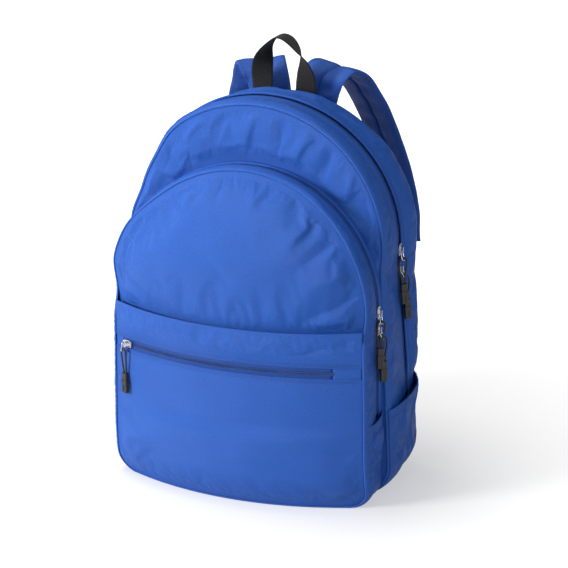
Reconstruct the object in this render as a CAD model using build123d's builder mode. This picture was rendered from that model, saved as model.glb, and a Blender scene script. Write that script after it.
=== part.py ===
"""School backpack: a tombstone-shaped main compartment with a zipped front pocket, a slip pocket
with its own zipped pocket, four side pockets, a webbing grab loop and two padded shoulder straps.

Frame: millimetres, +Z up, the front pocket faces -Y, the wearer's back is at +Y, and the origin is the
middle of the flat base. Each piece of the bag is written to parts/ as its own STEP file.
"""

import os
from math import asin, cos, degrees, pi, radians, sin, sqrt, tan

from build123d import *

# ---------------------------------------------------------------- driving dimensions
FABRIC = 1.2  # coated polyester with its backing
FRONT_Y = -30.0  # front wall of the main compartment
BACK_Y = 82.0  # back seam of the main compartment
TAPER_Y = 64.0  # the rear gusset starts to draw in here
SIDE_TOP = 100.0  # the zipped gussets stop here and the base gussets start

# Arch outlines: radius, height of the arch's centre, how far the arch runs below its centre (dip),
# outward slant of the sides, radius of the bottom corners, height of the bottom edge.
MAIN = dict(radius=157.0, centre=297.0, dip=6.8, slant=3.0, corner=38.0, bottom=0.0)
REAR = dict(radius=149.0, centre=293.0, dip=6.8, slant=3.0, corner=38.0, bottom=14.0)
POCKET = dict(radius=155.0, centre=231.0, dip=3.0, slant=1.0, corner=24.0, bottom=0.0)
WAIST = 40.0  # radius of the short curve that joins the arch to the straight side

# Zips: two tapes with a coil along each, and a gap in the middle for the slider's post.
ZIP_GAP = 0.6
TAPE_HALF = 12.5
TAPE_DEPTH = (1.5, 2.1)  # the tape lies this far under the fabric's outer face
COIL_HALF = 2.9
COIL_TOP = 0.4  # the coil stands this far above the fabric's outer face
LIP = 5.5  # the fabric edges stay this far from the middle of the zip
ZIP_END = 104.0
MAIN_ZIP_TILT = 5.0
MAIN_ZIP_Y = 20.0  # at the height of the arch's centre
POCKET_ZIP_Y = -44.0

# The bulging front of the pocket turns about an upright axis behind the bag.
FRONT_AXIS_Y = 233.7
FRONT_R = 351.7
SLIP_TOP = 219.0
FRONT_ZIP_Z = 170.0
FRONT_SLOT = 8.0  # half the height of the zip's window
FRONT_ZIP_X = (-141.0, 122.0)

SLIDER_LENGTH = 14.0
SLIDER_HALF = 4.4
PIVOT_T = 2.4  # the pull ring's bar sits this far below the slider's middle
PIVOT_H = 3.7  # and this far above the fabric
RING_LENGTH = 10.0
RING_WIRE = 1.4
RING_TILT = 18.0
CORD = 2.2
GRIP_TOP = 36.0
GRIP_LENGTH = 24.0

STRAP_WIDTH = 55.0
STRAP_FOAM = 7.0
WEBBING = 1.6
WEBBING_WIDTH = 25.0

parts_folder = "parts"
os.makedirs(parts_folder, exist_ok=True)


def save(part, name):
    part.label = name
    export_step(part, os.path.join(parts_folder, name + ".step"))


# ---------------------------------------------------------------- outlines and zip paths
def arch_joints(radius, centre, dip, slant, corner, bottom, inset=0.0):
    """The joints of the right half: apex, end of the arch, end of the waist and the sharp bottom corner."""
    d, s = radians(dip), radians(slant)
    r, waist = radius - inset, WAIST + inset
    arch_end = Vector(r * cos(d), centre - r * sin(d))
    hub = arch_end + Vector(cos(d), -sin(d)) * waist
    side_top = hub - Vector(cos(s), sin(s)) * waist
    base = bottom + inset
    low = Vector(side_top.X + (side_top.Y - base) * tan(s), base)
    return Vector(0, centre + r), arch_end, hub, side_top, low


def arch(shape, inset=0.0):
    """The closed arch outline, moved inward by inset, flat on XY with its height along Y."""
    apex, arch_end, hub, side_top, low = arch_joints(**shape, inset=inset)
    r, waist = shape["radius"] - inset, WAIST + inset
    half_arch = radians((90 - shape["dip"]) / 2)
    half_waist = radians((shape["slant"] - shape["dip"]) / 2)
    arch_mid = Vector(r * cos(half_arch), shape["centre"] + r * sin(half_arch))
    waist_mid = hub - Vector(cos(half_waist), sin(half_waist)) * waist
    with BuildSketch(Plane.XY) as outline:
        with BuildLine():
            corner = shape["corner"] - inset
            FilletPolyline((0, low.Y), (low.X, low.Y), (side_top.X, side_top.Y), radius=corner)
            ThreePointArc((side_top.X, side_top.Y), (waist_mid.X, waist_mid.Y), (arch_end.X, arch_end.Y))
            ThreePointArc((arch_end.X, arch_end.Y), (arch_mid.X, arch_mid.Y), (apex.X, apex.Y))
            mirror(about=Plane.YZ)
        make_face()
    return outline.sketch


def upright(y):
    """The plane across the bag at y: its x is X, its y is Z, and it faces the front."""
    return Plane(origin=(0, y, 0), x_dir=(1, 0, 0), z_dir=(0, -1, 0))


def arch_block(shape, y_rear, y_front, inset=0.0):
    """A solid with the arch outline, from y_rear forward to y_front."""
    outline = arch(shape, inset)
    with BuildPart() as block:
        with BuildSketch(upright(y_rear)):
            add(outline)
        extrude(amount=y_rear - y_front)
    return block.part


def arch_band(shape, y_rear, y_front):
    """A wall of fabric that follows the outline, from y_rear forward to y_front."""
    return arch_block(shape, y_rear, y_front) - arch_block(shape, y_rear + 1, y_front - 1, FABRIC)


def taper(inset):
    """The solid between the main outline and the smaller back outline."""
    wide, narrow = arch(MAIN, inset), arch(REAR, inset)
    with BuildPart() as tapered:
        with BuildSketch(upright(TAPER_Y)):
            add(wide)
        with BuildSketch(upright(BACK_Y)):
            add(narrow)
        loft(ruled=True)
    return tapered.part


TILT = radians(MAIN_ZIP_TILT)
main_zip_plane = Plane(
    origin=(0, MAIN_ZIP_Y, MAIN["centre"]), x_dir=(1, 0, 0), z_dir=(0, -cos(TILT), -sin(TILT))
)
pocket_zip_plane = Plane(origin=(0, POCKET_ZIP_Y, POCKET["centre"]), x_dir=(1, 0, 0), z_dir=(0, -1, 0))


def centred(shape):
    """The same outline with its arch's centre at the plane's origin."""
    return {**shape, "centre": 0.0, "bottom": shape["bottom"] - shape["centre"]}


# ---------------------------------------------------------------- main compartment
straight_wall = arch_band(MAIN, TAPER_Y, FRONT_Y)
tapered_wall = taper(0.0) - taper(FABRIC)

with BuildPart() as front_gusset:
    add(straight_wall)
    split(bisect_by=main_zip_plane.offset(LIP), keep=Keep.TOP)
    split(bisect_by=Plane.XY.offset(SIDE_TOP), keep=Keep.TOP)
save(front_gusset.part, "front_gusset")

with BuildPart() as rear_gusset:
    add(straight_wall)
    split(bisect_by=main_zip_plane.offset(-LIP), keep=Keep.BOTTOM)
    add(tapered_wall)
    split(bisect_by=Plane.XY.offset(SIDE_TOP), keep=Keep.TOP)
save(rear_gusset.part, "rear_gusset")

with BuildPart() as base_gusset:
    add(straight_wall)
    add(tapered_wall)
    split(bisect_by=Plane.XY.offset(SIDE_TOP), keep=Keep.BOTTOM)
save(base_gusset.part, "base_gusset")

with BuildPart() as back_panel:
    add(arch_block(REAR, BACK_Y + FABRIC, BACK_Y))
save(back_panel.part, "back_panel")

BACK_FOAM = 6.0
BACK_MARGIN = 10.0
with BuildPart() as back_foam:
    add(arch_block(REAR, BACK_Y, BACK_Y - BACK_FOAM, BACK_MARGIN))
    fillet(back_foam.faces().sort_by(Axis.Y)[0].edges(), 3.0)
save(back_foam.part, "back_foam")

with BuildPart() as front_panel:
    add(arch_block(MAIN, FRONT_Y, FRONT_Y - FABRIC))
save(front_panel.part, "front_panel")


def zip_pair(plane, shape, depth_outer, depth_inner, near, far):
    """Two bands beside the zip's middle plane, each from near to far off it."""
    outer, inner = arch(centred(shape), depth_outer), arch(centred(shape), depth_inner)
    with BuildPart() as pair:
        for side in (1, -1):
            with BuildSketch(plane.offset(side * near)):
                add(outer)
                add(inner, mode=Mode.SUBTRACT)
            extrude(amount=far - near, dir=(0, -side, 0))
        split(bisect_by=Plane.XY.offset(ZIP_END), keep=Keep.TOP)
    return pair.part


with BuildPart() as main_zip_tapes:
    add(zip_pair(main_zip_plane, MAIN, *TAPE_DEPTH, ZIP_GAP, TAPE_HALF))
save(main_zip_tapes.part, "main_zip_tapes")

with BuildPart() as main_zip_coils:
    add(zip_pair(main_zip_plane, MAIN, -COIL_TOP, TAPE_DEPTH[0], ZIP_GAP, COIL_HALF))
save(main_zip_coils.part, "main_zip_coils")

# ---------------------------------------------------------------- front pocket
POCKET_Y = FRONT_Y - FABRIC  # the pocket is sewn onto the main compartment's front wall

# The pocket's front, as distance from the upright axis at each height: (distance, height).
DOME = [(329, 0), (335, 60), (340, 150), (343, 245), (336, 300), (320, 342), (293, 388)]
SLIP = [(336, 0), (347, 25), (FRONT_R, 62)]
CONTACT = 0.1  # the gusset's front edge stays this far behind the panels it carries


FRONT_AXIS = Axis((0, FRONT_AXIS_Y, 0), (0, 0, 1))


def front_curve(points, inward=0.0):
    """A smooth line up the pocket's front, in the plane x = 0, moved back towards the axis."""
    return Spline(*[(FRONT_AXIS_Y - r + inward, z) for r, z in points])


def dome_shell(points, thickness, top):
    """A thin wall of revolution about the upright axis that follows points, up to the given height."""
    with BuildPart() as shell:
        with BuildSketch(Plane.YZ):
            with BuildLine():
                outer = front_curve(points)
                inner = front_curve(points, thickness)
                Line(outer @ 0, inner @ 0)
                end, rear = outer @ 1, inner @ 1
                if top > points[-1][1]:
                    Polyline((end.X, end.Y), (end.X, top), (rear.X, top), (rear.X, rear.Y))
                else:
                    Line(end, rear)
            make_face()
        revolve(axis=FRONT_AXIS)
    return shell.part


with BuildPart() as pocket_limit:  # everything behind the pocket's front panels
    with BuildSketch(Plane.YZ):
        with BuildLine():
            low = front_curve(SLIP, FABRIC + CONTACT)
            slip_back = (low @ 1).X
            dome = Spline(*[(FRONT_AXIS_Y - r, z) for r, z in DOME if z > SLIP_TOP])
            Polyline((slip_back, SLIP[-1][1]), (slip_back, SLIP_TOP), ((dome @ 0).X, SLIP_TOP), (dome @ 0))
            Polyline((dome @ 1), (-20, DOME[-1][1]), (-20, 0), (low @ 0))
        make_face()
    revolve(axis=FRONT_AXIS)


def pocket_band(name, keep, y_rear, y_front):
    """A gusset of the pocket, trimmed to the pocket's bulging front."""
    wall = arch_band(POCKET, y_rear, y_front)
    with BuildPart() as band:
        add(wall)
        split(bisect_by=Plane.XY.offset(SIDE_TOP), keep=keep)
        add(pocket_limit.part, mode=Mode.INTERSECT)
    save(band.part, name)


pocket_band("pocket_rear_gusset", Keep.TOP, POCKET_Y, POCKET_ZIP_Y + LIP)
pocket_band("pocket_front_gusset", Keep.TOP, POCKET_ZIP_Y - LIP, -125.0)
pocket_band("pocket_base_gusset", Keep.BOTTOM, POCKET_Y, -125.0)

with BuildPart() as pocket_zip_tapes:
    add(zip_pair(pocket_zip_plane, POCKET, *TAPE_DEPTH, ZIP_GAP, POCKET_Y - POCKET_ZIP_Y))
save(pocket_zip_tapes.part, "pocket_zip_tapes")

with BuildPart() as pocket_zip_coils:
    add(zip_pair(pocket_zip_plane, POCKET, -COIL_TOP, TAPE_DEPTH[0], ZIP_GAP, COIL_HALF))
save(pocket_zip_coils.part, "pocket_zip_coils")

dome = dome_shell(DOME, FABRIC, DOME[-1][1])
within_gusset = arch_block(POCKET, POCKET_ZIP_Y - TAPE_HALF, -140.0, FABRIC + CONTACT)
with BuildPart() as pocket_front_panel:
    add(dome)
    add(within_gusset, mode=Mode.INTERSECT)
save(pocket_front_panel.part, "pocket_front_panel")

slip_wall = dome_shell(SLIP, FABRIC, SLIP_TOP)
slip_outline = arch_block(POCKET, -70.0, -140.0)


def slip_piece(z_low, z_high, x_low=-200.0, x_high=200.0):
    """One piece of the outer wall of the slip pocket, between the given heights."""
    with BuildPart() as piece:
        add(slip_wall)
        add(slip_outline, mode=Mode.INTERSECT)
        with Locations(((x_low + x_high) / 2, -100, (z_low + z_high) / 2)):
            Box(x_high - x_low, 200, z_high - z_low, mode=Mode.INTERSECT)
    return piece.part


save(slip_piece(0, FRONT_ZIP_Z - FRONT_SLOT), "slip_panel_lower")
save(slip_piece(FRONT_ZIP_Z + FRONT_SLOT, SLIP_TOP), "slip_panel_upper")
window = (FRONT_ZIP_Z - FRONT_SLOT, FRONT_ZIP_Z + FRONT_SLOT)
left_filler = slip_piece(*window, x_high=FRONT_ZIP_X[0])
right_filler = slip_piece(*window, x_low=FRONT_ZIP_X[1])
with BuildPart() as slip_fillers:
    add(left_filler)
    add(right_filler)
save(slip_fillers.part, "slip_fillers")


def front_zip_rows(name, depth_outer, depth_inner, near, far):
    """Two bands above and below the middle of the horizontal zip, bent round the upright axis."""
    middle_y = FRONT_AXIS_Y - FRONT_R + (depth_outer + depth_inner) / 2
    middle_z = (near + far) / 2
    with BuildPart() as rows:
        with BuildSketch(Plane.YZ):
            with Locations((middle_y, FRONT_ZIP_Z + middle_z), (middle_y, FRONT_ZIP_Z - middle_z)):
                Rectangle(depth_inner - depth_outer, far - near)
        revolve(axis=FRONT_AXIS)
        with Locations((sum(FRONT_ZIP_X) / 2, -100, FRONT_ZIP_Z)):
            Box(FRONT_ZIP_X[1] - FRONT_ZIP_X[0], 200, 60, mode=Mode.INTERSECT)
    save(rows.part, name)


front_zip_rows("front_zip_tapes", *TAPE_DEPTH, ZIP_GAP, 12.0)
front_zip_rows("front_zip_coils", -COIL_TOP, TAPE_DEPTH[0], ZIP_GAP, COIL_HALF)

POUCH = (4.4, 5.0)  # the zipped pocket's back lining, behind the outer face
with BuildPart() as front_pouch_lining:
    with BuildSketch(Plane.YZ):
        with Locations((FRONT_AXIS_Y - FRONT_R + sum(POUCH) / 2, 128)):
            Rectangle(POUCH[1] - POUCH[0], 116)
    revolve(axis=FRONT_AXIS)
    with Locations((0, -100, 128)):
        Box(284, 200, 140, mode=Mode.INTERSECT)
save(front_pouch_lining.part, "front_pouch_lining")

# ---------------------------------------------------------------- side pockets
SIDE_POCKET_LOW = 44.0


def side_x(shape, z):
    """Half the outline's width at height z, on the straight side."""
    side_top = arch_joints(**shape)[3]
    return side_top.X + (side_top.Y - z) * tan(radians(shape["slant"]))


def side_pocket(shape, y_front, y_rear, top, bulge):
    """A wall on the +X side that bows out from the gusset between two seams, open at the top."""
    with BuildPart() as wall:
        for z, sag in ((SIDE_POCKET_LOW, 1.0), (top, bulge)):
            x = side_x(shape, z) + 0.15
            with BuildSketch(Plane.XY.offset(z)):
                with BuildLine():
                    a, m, b = (x, y_front), (x + sag, (y_front + y_rear) / 2), (x, y_rear)
                    ThreePointArc(a, m, b)
                    Line(b, (x + FABRIC, y_rear))
                    ThreePointArc((x + FABRIC, y_rear), (m[0] + FABRIC, m[1]), (x + FABRIC, y_front))
                    Line((x + FABRIC, y_front), a)
                make_face()
        loft(ruled=True)
    return wall.part


for name, wall in (
    ("side_pocket", side_pocket(MAIN, FRONT_Y + 1.5, TAPER_Y - 1, 116.0, 10.0)),
    ("front_side_pocket", side_pocket(POCKET, -80.0, POCKET_Y - 1.5, 106.0, 7.0)),
):
    save(wall, "right_" + name)
    save(wall.mirror(Plane.YZ), "left_" + name)


# ---------------------------------------------------------------- zip sliders and pullers
def slider(frame):
    """A zip slider. frame: x along the zip, z out of the fabric, origin on the fabric's outer face."""
    with BuildPart() as body:
        with BuildSketch(frame.offset(0.9)):  # top plate, narrower at its tail
            with BuildLine():
                half = SLIDER_LENGTH / 2
                Polyline((-half, -3.4), (-half + 4, -SLIDER_HALF), (half - 4, -SLIDER_HALF), (half, -3.0))
                Polyline((half, -3.0), (half, 3.0), (half - 4, SLIDER_HALF), (-half + 4, SLIDER_HALF))
                Polyline((-half + 4, SLIDER_HALF), (-half, 3.4), (-half, -3.4))
            make_face()
        extrude(amount=1.2)
        with BuildSketch(frame.offset(0.9)):  # side flanges over the coils
            with Locations((0, 3.85), (0, -3.85)):
                Rectangle(8, 1.1)
        extrude(amount=-1.9)
        with BuildSketch(frame.offset(0.9)):  # post between the coils
            Rectangle(6, 0.7)
        extrude(amount=-3.7)
        with BuildSketch(frame.offset(-2.6)):  # bottom plate
            with Locations((0, 0)):
                RectangleRounded(12, 8.2, 3)
        extrude(amount=-1.2)
        with BuildSketch(Plane(frame.origin, x_dir=frame.x_dir, z_dir=-frame.y_dir)):  # bridge
            with BuildLine():
                Polyline((-5.2, 1.9), (-3.4, 5.8), (4.4, 5.8), (6.2, 1.9))
                Polyline((6.2, 1.9), (5.2, 1.9), (3.9, 4.8), (-2.7, 4.8))
                Polyline((-2.7, 4.8), (-4.0, 1.9), (-5.2, 1.9))
            make_face()
        extrude(amount=1.0, both=True)
    return body.part


def ring(plane, half, flare, turn, tilt):
    """The slider's pull ring, a pear-shaped wire: x from its bar to its end, y across."""
    end = RING_LENGTH
    t, n = radians(tilt), radians(turn)
    along = plane.x_dir * cos(n) * cos(t) + plane.y_dir * sin(n) + plane.z_dir * cos(n) * sin(t)
    leaning = Plane(plane.origin, x_dir=along, z_dir=plane.z_dir * cos(t) - plane.x_dir * sin(t))
    with BuildPart() as wire:
        with BuildLine(leaning) as path:
            FilletPolyline(
                (0, half), (0, -half), (end, -half - flare), (end, half + flare), radius=1.2, close=True
            )
        with BuildSketch(Plane(path.line @ 0.05, z_dir=path.line % 0.05)):
            Circle(RING_WIRE / 2)
        sweep(path=path.line)
    return wire.part


# The cord loop through the ring, from one leg in the grip to the other: down, across, out of the fabric.
CORD_END = 35.6
CORD_ROUTE = [
    (CORD_END, 1.7, 0.4),
    (29.0, 2.0, 1.0),
    (21.0, 3.3, 3.0),
    (13.0, 2.8, 5.6),
    (7.4, 0.9, 6.1),
    (5.8, 0.0, 2.3),
    (7.4, -0.9, -1.2),
    (13.0, -2.8, -0.9),
    (21.0, -3.3, -0.6),
    (29.0, -2.0, 0.2),
    (CORD_END, -1.7, 0.4),
]
# On the horizontal zip the ring stands edge-on, so the loop goes through it sideways.
SIDEWAYS_ROUTE = [
    (CORD_END, 1.7, 0.4),
    (29.0, 2.4, 0.9),
    (20.0, 3.1, 1.7),
    (11.6, 3.5, 2.3),
    (6.6, 3.2, 2.5),
    (4.9, 0.0, 2.5),
    (6.6, -3.2, 2.5),
    (11.6, -3.5, 2.3),
    (20.0, -3.1, 1.7),
    (29.0, -2.4, 0.9),
    (CORD_END, -1.7, 0.4),
]


PULL_TWIST = 50.0  # degrees that the side zips' pulls turn to the front
PULL_STAND_OFF = 2.8


def twisted(y, z, share):
    """Offsets across and out of the fabric after the pull's twist, which turns its face to the front."""
    t = radians(PULL_TWIST * share)
    return y * cos(t) - z * sin(t), y * sin(t) + z * cos(t) + PULL_STAND_OFF * share


def cord_points(hang, route, side, lateral, twist):
    """The route in the bag's frame: beside the ring's end at first, then over to the grip's side."""
    points = []
    for x, y, z in route:
        middle = dict((round(a[0], 1), (a[2] + b[2]) / 2) for a, b in zip(route, route[::-1]))[round(x, 1)]
        share = twist * min(1.0, max(0.0, (x - 8.0) / 24.0))
        y, z = twisted(y, z - middle, share)
        z += middle
        beside_ring = side * min(x, RING_LENGTH) / RING_LENGTH
        beyond = (lateral - side) * min(1.0, max(0.0, (x - RING_LENGTH) / 10))
        points.append(hang.from_local_coords(Vector(x, y + beside_ring + beyond, z)))
    return points


def cord(points):
    """The soft loop, a tube along straight runs joined by arcs as large as the runs allow."""
    radii = []
    for before, here, after in zip(points, points[1:], points[2:]):
        turn = radians((here - before).get_angle(after - here))
        radii.append(0.45 * min((here - before).length, (after - here).length) / tan(turn / 2))
    with BuildPart() as tube:
        with BuildLine() as path:
            FilletPolyline(*points, radius=radii)
        with BuildSketch(Plane(path.line @ 0, z_dir=path.line % 0)):
            Circle(CORD / 2)
        sweep(path=path.line)
    length = path.wires()[0].length
    share = tube.part.volume / (length * pi * CORD**2 / 4)
    print("cord", round(length, 2), "radii", [round(r, 2) for r in radii], round(share, 4))
    return tube.part


def grip(hang, lateral, twist):
    """The moulded end that holds both legs of the cord: a neck, a collar and a flat pad with a groove."""
    t = radians(PULL_TWIST * twist)
    facing = hang.z_dir * cos(t) - hang.y_dir * sin(t)
    depth = 0.4 + PULL_STAND_OFF * twist
    with BuildPart() as pad:
        for x_low, x_high, width, thick in (
            (GRIP_TOP, GRIP_TOP + 11, 7.6, 4.4),
            (GRIP_TOP + 9, GRIP_TOP + 13, 9.0, 5.6),
            (GRIP_TOP + 11, GRIP_TOP + GRIP_LENGTH, 8.2, 4.8),
        ):
            middle = hang.from_local_coords(Vector((x_low + x_high) / 2, lateral, depth))
            with Locations(Plane(middle, x_dir=hang.x_dir, z_dir=facing)):
                Box(x_high - x_low, width, thick)
        chamfer(pad.edges().filter_by(lambda e: abs((e % 0.5).dot(hang.x_dir)) > 0.99), 0.7)
        groove = hang.from_local_coords(Vector(GRIP_TOP + 18, lateral, depth)) + facing * 2.4
        with Locations(Plane(groove, x_dir=hang.x_dir, z_dir=facing)):
            Box(7, 1.2, 1.2, mode=Mode.SUBTRACT)
    return pad.part


def local(plane, x, y):
    """A point of a plane, as a vector of the bag's frame."""
    return plane.from_local_coords(Vector(x, y, 0))


def on_arch(plane, shape, angle):
    """A slider's frame on the arch, at an angle above the arch's centre, on the +X side."""
    a = radians(angle)
    out = plane.x_dir * cos(a) + plane.y_dir * sin(a)
    down = plane.x_dir * sin(a) - plane.y_dir * cos(a)
    return Plane(plane.origin + out * shape["radius"], x_dir=down, z_dir=out)


def on_side(plane, shape, drop):
    """A slider's frame on the straight side, at a distance below its top."""
    s = radians(shape["slant"])
    side_top = arch_joints(**centred(shape))[3]
    down = plane.x_dir * sin(s) - plane.y_dir * cos(s)
    out = plane.x_dir * cos(s) + plane.y_dir * sin(s)
    return Plane(local(plane, side_top.X, side_top.Y) + down * drop, x_dir=down, z_dir=out)


def on_front(x):
    """A slider's frame on the horizontal zip, at x."""
    out = Vector(x, -sqrt(FRONT_R**2 - x**2), 0).normalized()
    along = Vector(0, 0, 1).cross(out) * -1
    return Plane(Vector(0, FRONT_AXIS_Y, FRONT_ZIP_Z) + out * FRONT_R, x_dir=along, z_dir=out)


FRONT_SLIDER_X = -133.0
BELOW = SLIDER_LENGTH / 2 + 2.5
ABOVE = 2.8  # degrees between the arch's end and the upper sliders
RING_SIDE = 3.6  # the most a ring can lean sideways in its bridge
FRONT_LEAN = 8.0  # how far the horizontal zip's ring leans out from the bag
sides = {
    "main": on_side(main_zip_plane, MAIN, BELOW),
    "pocket": on_side(pocket_zip_plane, POCKET, BELOW),
}
sliders = {  # where each slider is, and how far to the side its puller lies
    "main_upper": (on_arch(main_zip_plane, MAIN, ABOVE - MAIN["dip"]), -8.4),
    "main_lower": (sides["main"], 3.0),
    "pocket_upper": (on_arch(pocket_zip_plane, POCKET, ABOVE - POCKET["dip"]), -9.2),
    "pocket_lower": (sides["pocket"], 3.0),
    "front": (on_front(FRONT_SLIDER_X), 0.0),
}
for name, (frame, lateral) in sliders.items():
    side = max(-RING_SIDE, min(RING_SIDE, lateral))
    pivot = frame.origin + frame.x_dir * PIVOT_T + frame.z_dir * PIVOT_H
    if name == "front":
        hang = Plane(pivot, x_dir=(0, 0, -1), z_dir=frame.z_dir)
        edge_on = Plane(pivot + frame.z_dir * 1.6 + Vector(0, 0, 1.9), x_dir=(0, 0, -1), z_dir=hang.y_dir)
        twist = 0.0
        pull_ring = ring(edge_on, 1.6, 1.1, FRONT_LEAN * (1 if edge_on.y_dir.Y < 0 else -1), 0)
        route = cord_points(hang, SIDEWAYS_ROUTE, side, lateral, twist)
    else:
        beside = sides[name.split("_")[0]]
        hang = Plane(pivot, x_dir=beside.x_dir, z_dir=beside.z_dir)
        twist = 1.0
        pull_ring = ring(hang, 2.6, 0.6, degrees(asin(side / RING_LENGTH)), RING_TILT)
        route = cord_points(hang, CORD_ROUTE, side, lateral, twist)
    save(slider(frame), name + "_slider")
    save(pull_ring, name + "_pull_ring")
    save(cord(route), name + "_pull_cord")
    save(grip(hang, lateral, twist), name + "_pull_grip")


# ---------------------------------------------------------------- straps, handle and webbing
def ribbon(stations, width, low, high):
    """A flat band through stations (middle, across, forward), between two depths off its middle."""
    with BuildPart() as band:
        for ends in zip(stations, stations[1:]):
            for middle, across, forward in ends:
                with BuildSketch(Plane(middle, x_dir=across, z_dir=forward)):
                    with Locations((0, (low + high) / 2)):
                        Rectangle(width, high - low)
            loft(ruled=True)
    return band.part


def stations_along(points, across):
    """Stations at each point, square to the route; at a bend the station halves the turn."""
    made = []
    vectors = [Vector(p) for p in points]
    for i, here in enumerate(vectors):
        before = (here - vectors[i - 1]).normalized() if i else None
        after = (vectors[i + 1] - here).normalized() if i + 1 < len(vectors) else None
        forward = (before + after).normalized() if before and after else (before or after)
        side = Vector(*across[i])
        side = (side - forward * side.dot(forward)).normalized()
        made.append((here, side, forward))
    return made


# The right shoulder strap's middle line, from the top seam over its fold and down to its end.
STRAP_ROUTE = [
    (28, 88.2, 434),
    (33, 91, 454),
    (41, 98, 465),
    (52, 111, 466),
    (63, 127, 452),
    (79, 147, 412),
    (95, 158, 360),
    (107, 161, 305),
    (112, 153, 252),
]
STRAP_ACROSS = [
    (1, 0, -0.35),
    (1, -0.02, -0.30),
    (1, -0.10, -0.20),
    (1, -0.22, -0.08),
    (1, -0.32, 0.02),
    (1, -0.40, 0.12),
    (1, -0.38, 0.16),
    (1, -0.22, 0.15),
    (1, 0, 0.1),
]
strap = stations_along(STRAP_ROUTE, STRAP_ACROSS)
outer_half = STRAP_FOAM / 2
layers = {
    "strap_foam": ribbon(strap, STRAP_WIDTH - 8, -outer_half, outer_half),
    "strap_outer_fabric": ribbon(strap, STRAP_WIDTH, -outer_half - FABRIC / 2, -outer_half),
    "strap_inner_fabric": ribbon(strap, STRAP_WIDTH, outer_half, outer_half + FABRIC / 2),
}

# Ladder lock: x across, y along the strap, z away from the bag; its top bar takes the strap's loop.
LOCK_AT = Vector(114.5, 146.5, 214)
lock_up = (Vector(*STRAP_ROUTE[-1]) - LOCK_AT).normalized()
lock_side = Vector(-1, 0, -0.1)
lock_side = (lock_side - lock_up * lock_side.dot(lock_up)).normalized()
lock_plane = Plane(LOCK_AT, x_dir=lock_side, z_dir=lock_side.cross(lock_up))
LOCK_BAR = 3.0
LOCK_BARS = (13.5, 1.5, -11.5)  # where its three bars lie along the strap
with BuildPart() as ladder_lock:
    with BuildSketch(lock_plane.offset(-LOCK_BAR / 2)):
        with Locations((0, 1)):
            RectangleRounded(34, 30, 3)
        with Locations((0, 7.5), (0, -5)):
            Rectangle(27, 8, mode=Mode.SUBTRACT)
    extrude(amount=LOCK_BAR)

across_lock = Plane(LOCK_AT, x_dir=lock_plane.y_dir, z_dir=lock_plane.x_dir)


def across_local(point):
    """A point of the bag's frame in the upright plane through the ladder lock: along it and across it."""
    spot = across_lock.to_local_coords(Vector(*point))
    return spot.X, spot.Y


# In that plane x runs up the strap; positive y is towards the bag or away from it.
AWAY = 1 if across_lock.y_dir.Y > 0 else -1
TURN = LOCK_BAR / 2 + WEBBING / 2 + 0.3



def webbing(points, radii):
    """Webbing along a route in the plane across the ladder lock."""
    with BuildPart() as band:
        with BuildSketch(across_lock):
            with BuildLine():
                FilletPolyline(*points, radius=radii)
            trace(line_width=WEBBING)
        extrude(amount=WEBBING_WIDTH / 2, both=True)
    return band.part


# The strap's own webbing, doubled round the top bar.
loop_route = [(38, 1.3), (20, TURN), (10.3, TURN), (10.3, -TURN), (20, -TURN), (38, -1.3)]
with BuildPart() as strap_loop:
    add(webbing(loop_route, [8, 1, 1, 8]))

# Up behind the lock, over its middle bar and down again as the free tail.
ANCHOR = (126.0, 88.0, 40.0)
lower_route = [
    across_local(ANCHOR),
    (-30, -AWAY * (TURN + 0.6)),
    (4.9, -AWAY * TURN),
    (4.9, AWAY * TURN),
    (-30, AWAY * (TURN + 0.6)),
    (-112, AWAY * (TURN + 5)),
]
with BuildPart() as lower_webbing:
    add(webbing(lower_route, [8, 1, 1, 8]))

# The triangle of doubled fabric that carries the webbing at the base corner.
WING_WIDTH = 30.0
with BuildPart() as wing_tab:
    with BuildSketch(Plane.YZ.offset(ANCHOR[0] - WING_WIDTH / 2)):
        with BuildLine():
            rear = BACK_Y + FABRIC + 0.1
            Polyline((rear, 20), (rear, 70), (BACK_Y + 4.3, 44), close=True)
        make_face()
    extrude(amount=WING_WIDTH)

strap_pieces = {
    **layers,
    "strap_loop": strap_loop.part,
    "ladder_lock": ladder_lock.part,
    "lower_webbing": lower_webbing.part,
    "wing_tab": wing_tab.part,
}
for name, piece in strap_pieces.items():
    save(piece, "right_" + name)
    save(piece.mirror(Plane.YZ), "left_" + name)

# Grab handle: webbing that leaves the seam flat at both feet and turns edge-on over the top.
HANDLE_Y = 70.0
HANDLE_FOOT = 451.0
# Along, backward, up, and how far the webbing has turned edge-on, in degrees.
HANDLE_HALF = [
    (27, 0, 0, 0),
    (27, 1, 13, 8),
    (26, 2, 30, 45),
    (21, 2, 47, 80),
    (11, 1, 58, 90),
    (0, 0, 61, 90),
]
handle_points = []
handle_across = []
for x, y, z, turned in HANDLE_HALF:
    handle_points.append((-x, HANDLE_Y + y, HANDLE_FOOT + z))
    handle_across.append((cos(radians(turned)), sin(radians(turned)), 0))
for x, y, z, turned in HANDLE_HALF[-2::-1]:
    handle_points.append((x, HANDLE_Y + y, HANDLE_FOOT + z))
    handle_across.append((-cos(radians(turned)), sin(radians(turned)), 0))
handle = ribbon(stations_along(handle_points, handle_across), WEBBING_WIDTH, -WEBBING / 2, WEBBING / 2)
with BuildPart() as grab_handle:
    add(handle)
save(grab_handle.part, "grab_handle")
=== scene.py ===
"""School backpack: the looks. Lengths in the tables below are millimetres; meshes are written in metres."""

from math import acos, atan2, cos, pi, radians, sin, sqrt, tan

import bpy
import numpy as np
from mathutils import Matrix, Vector


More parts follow.
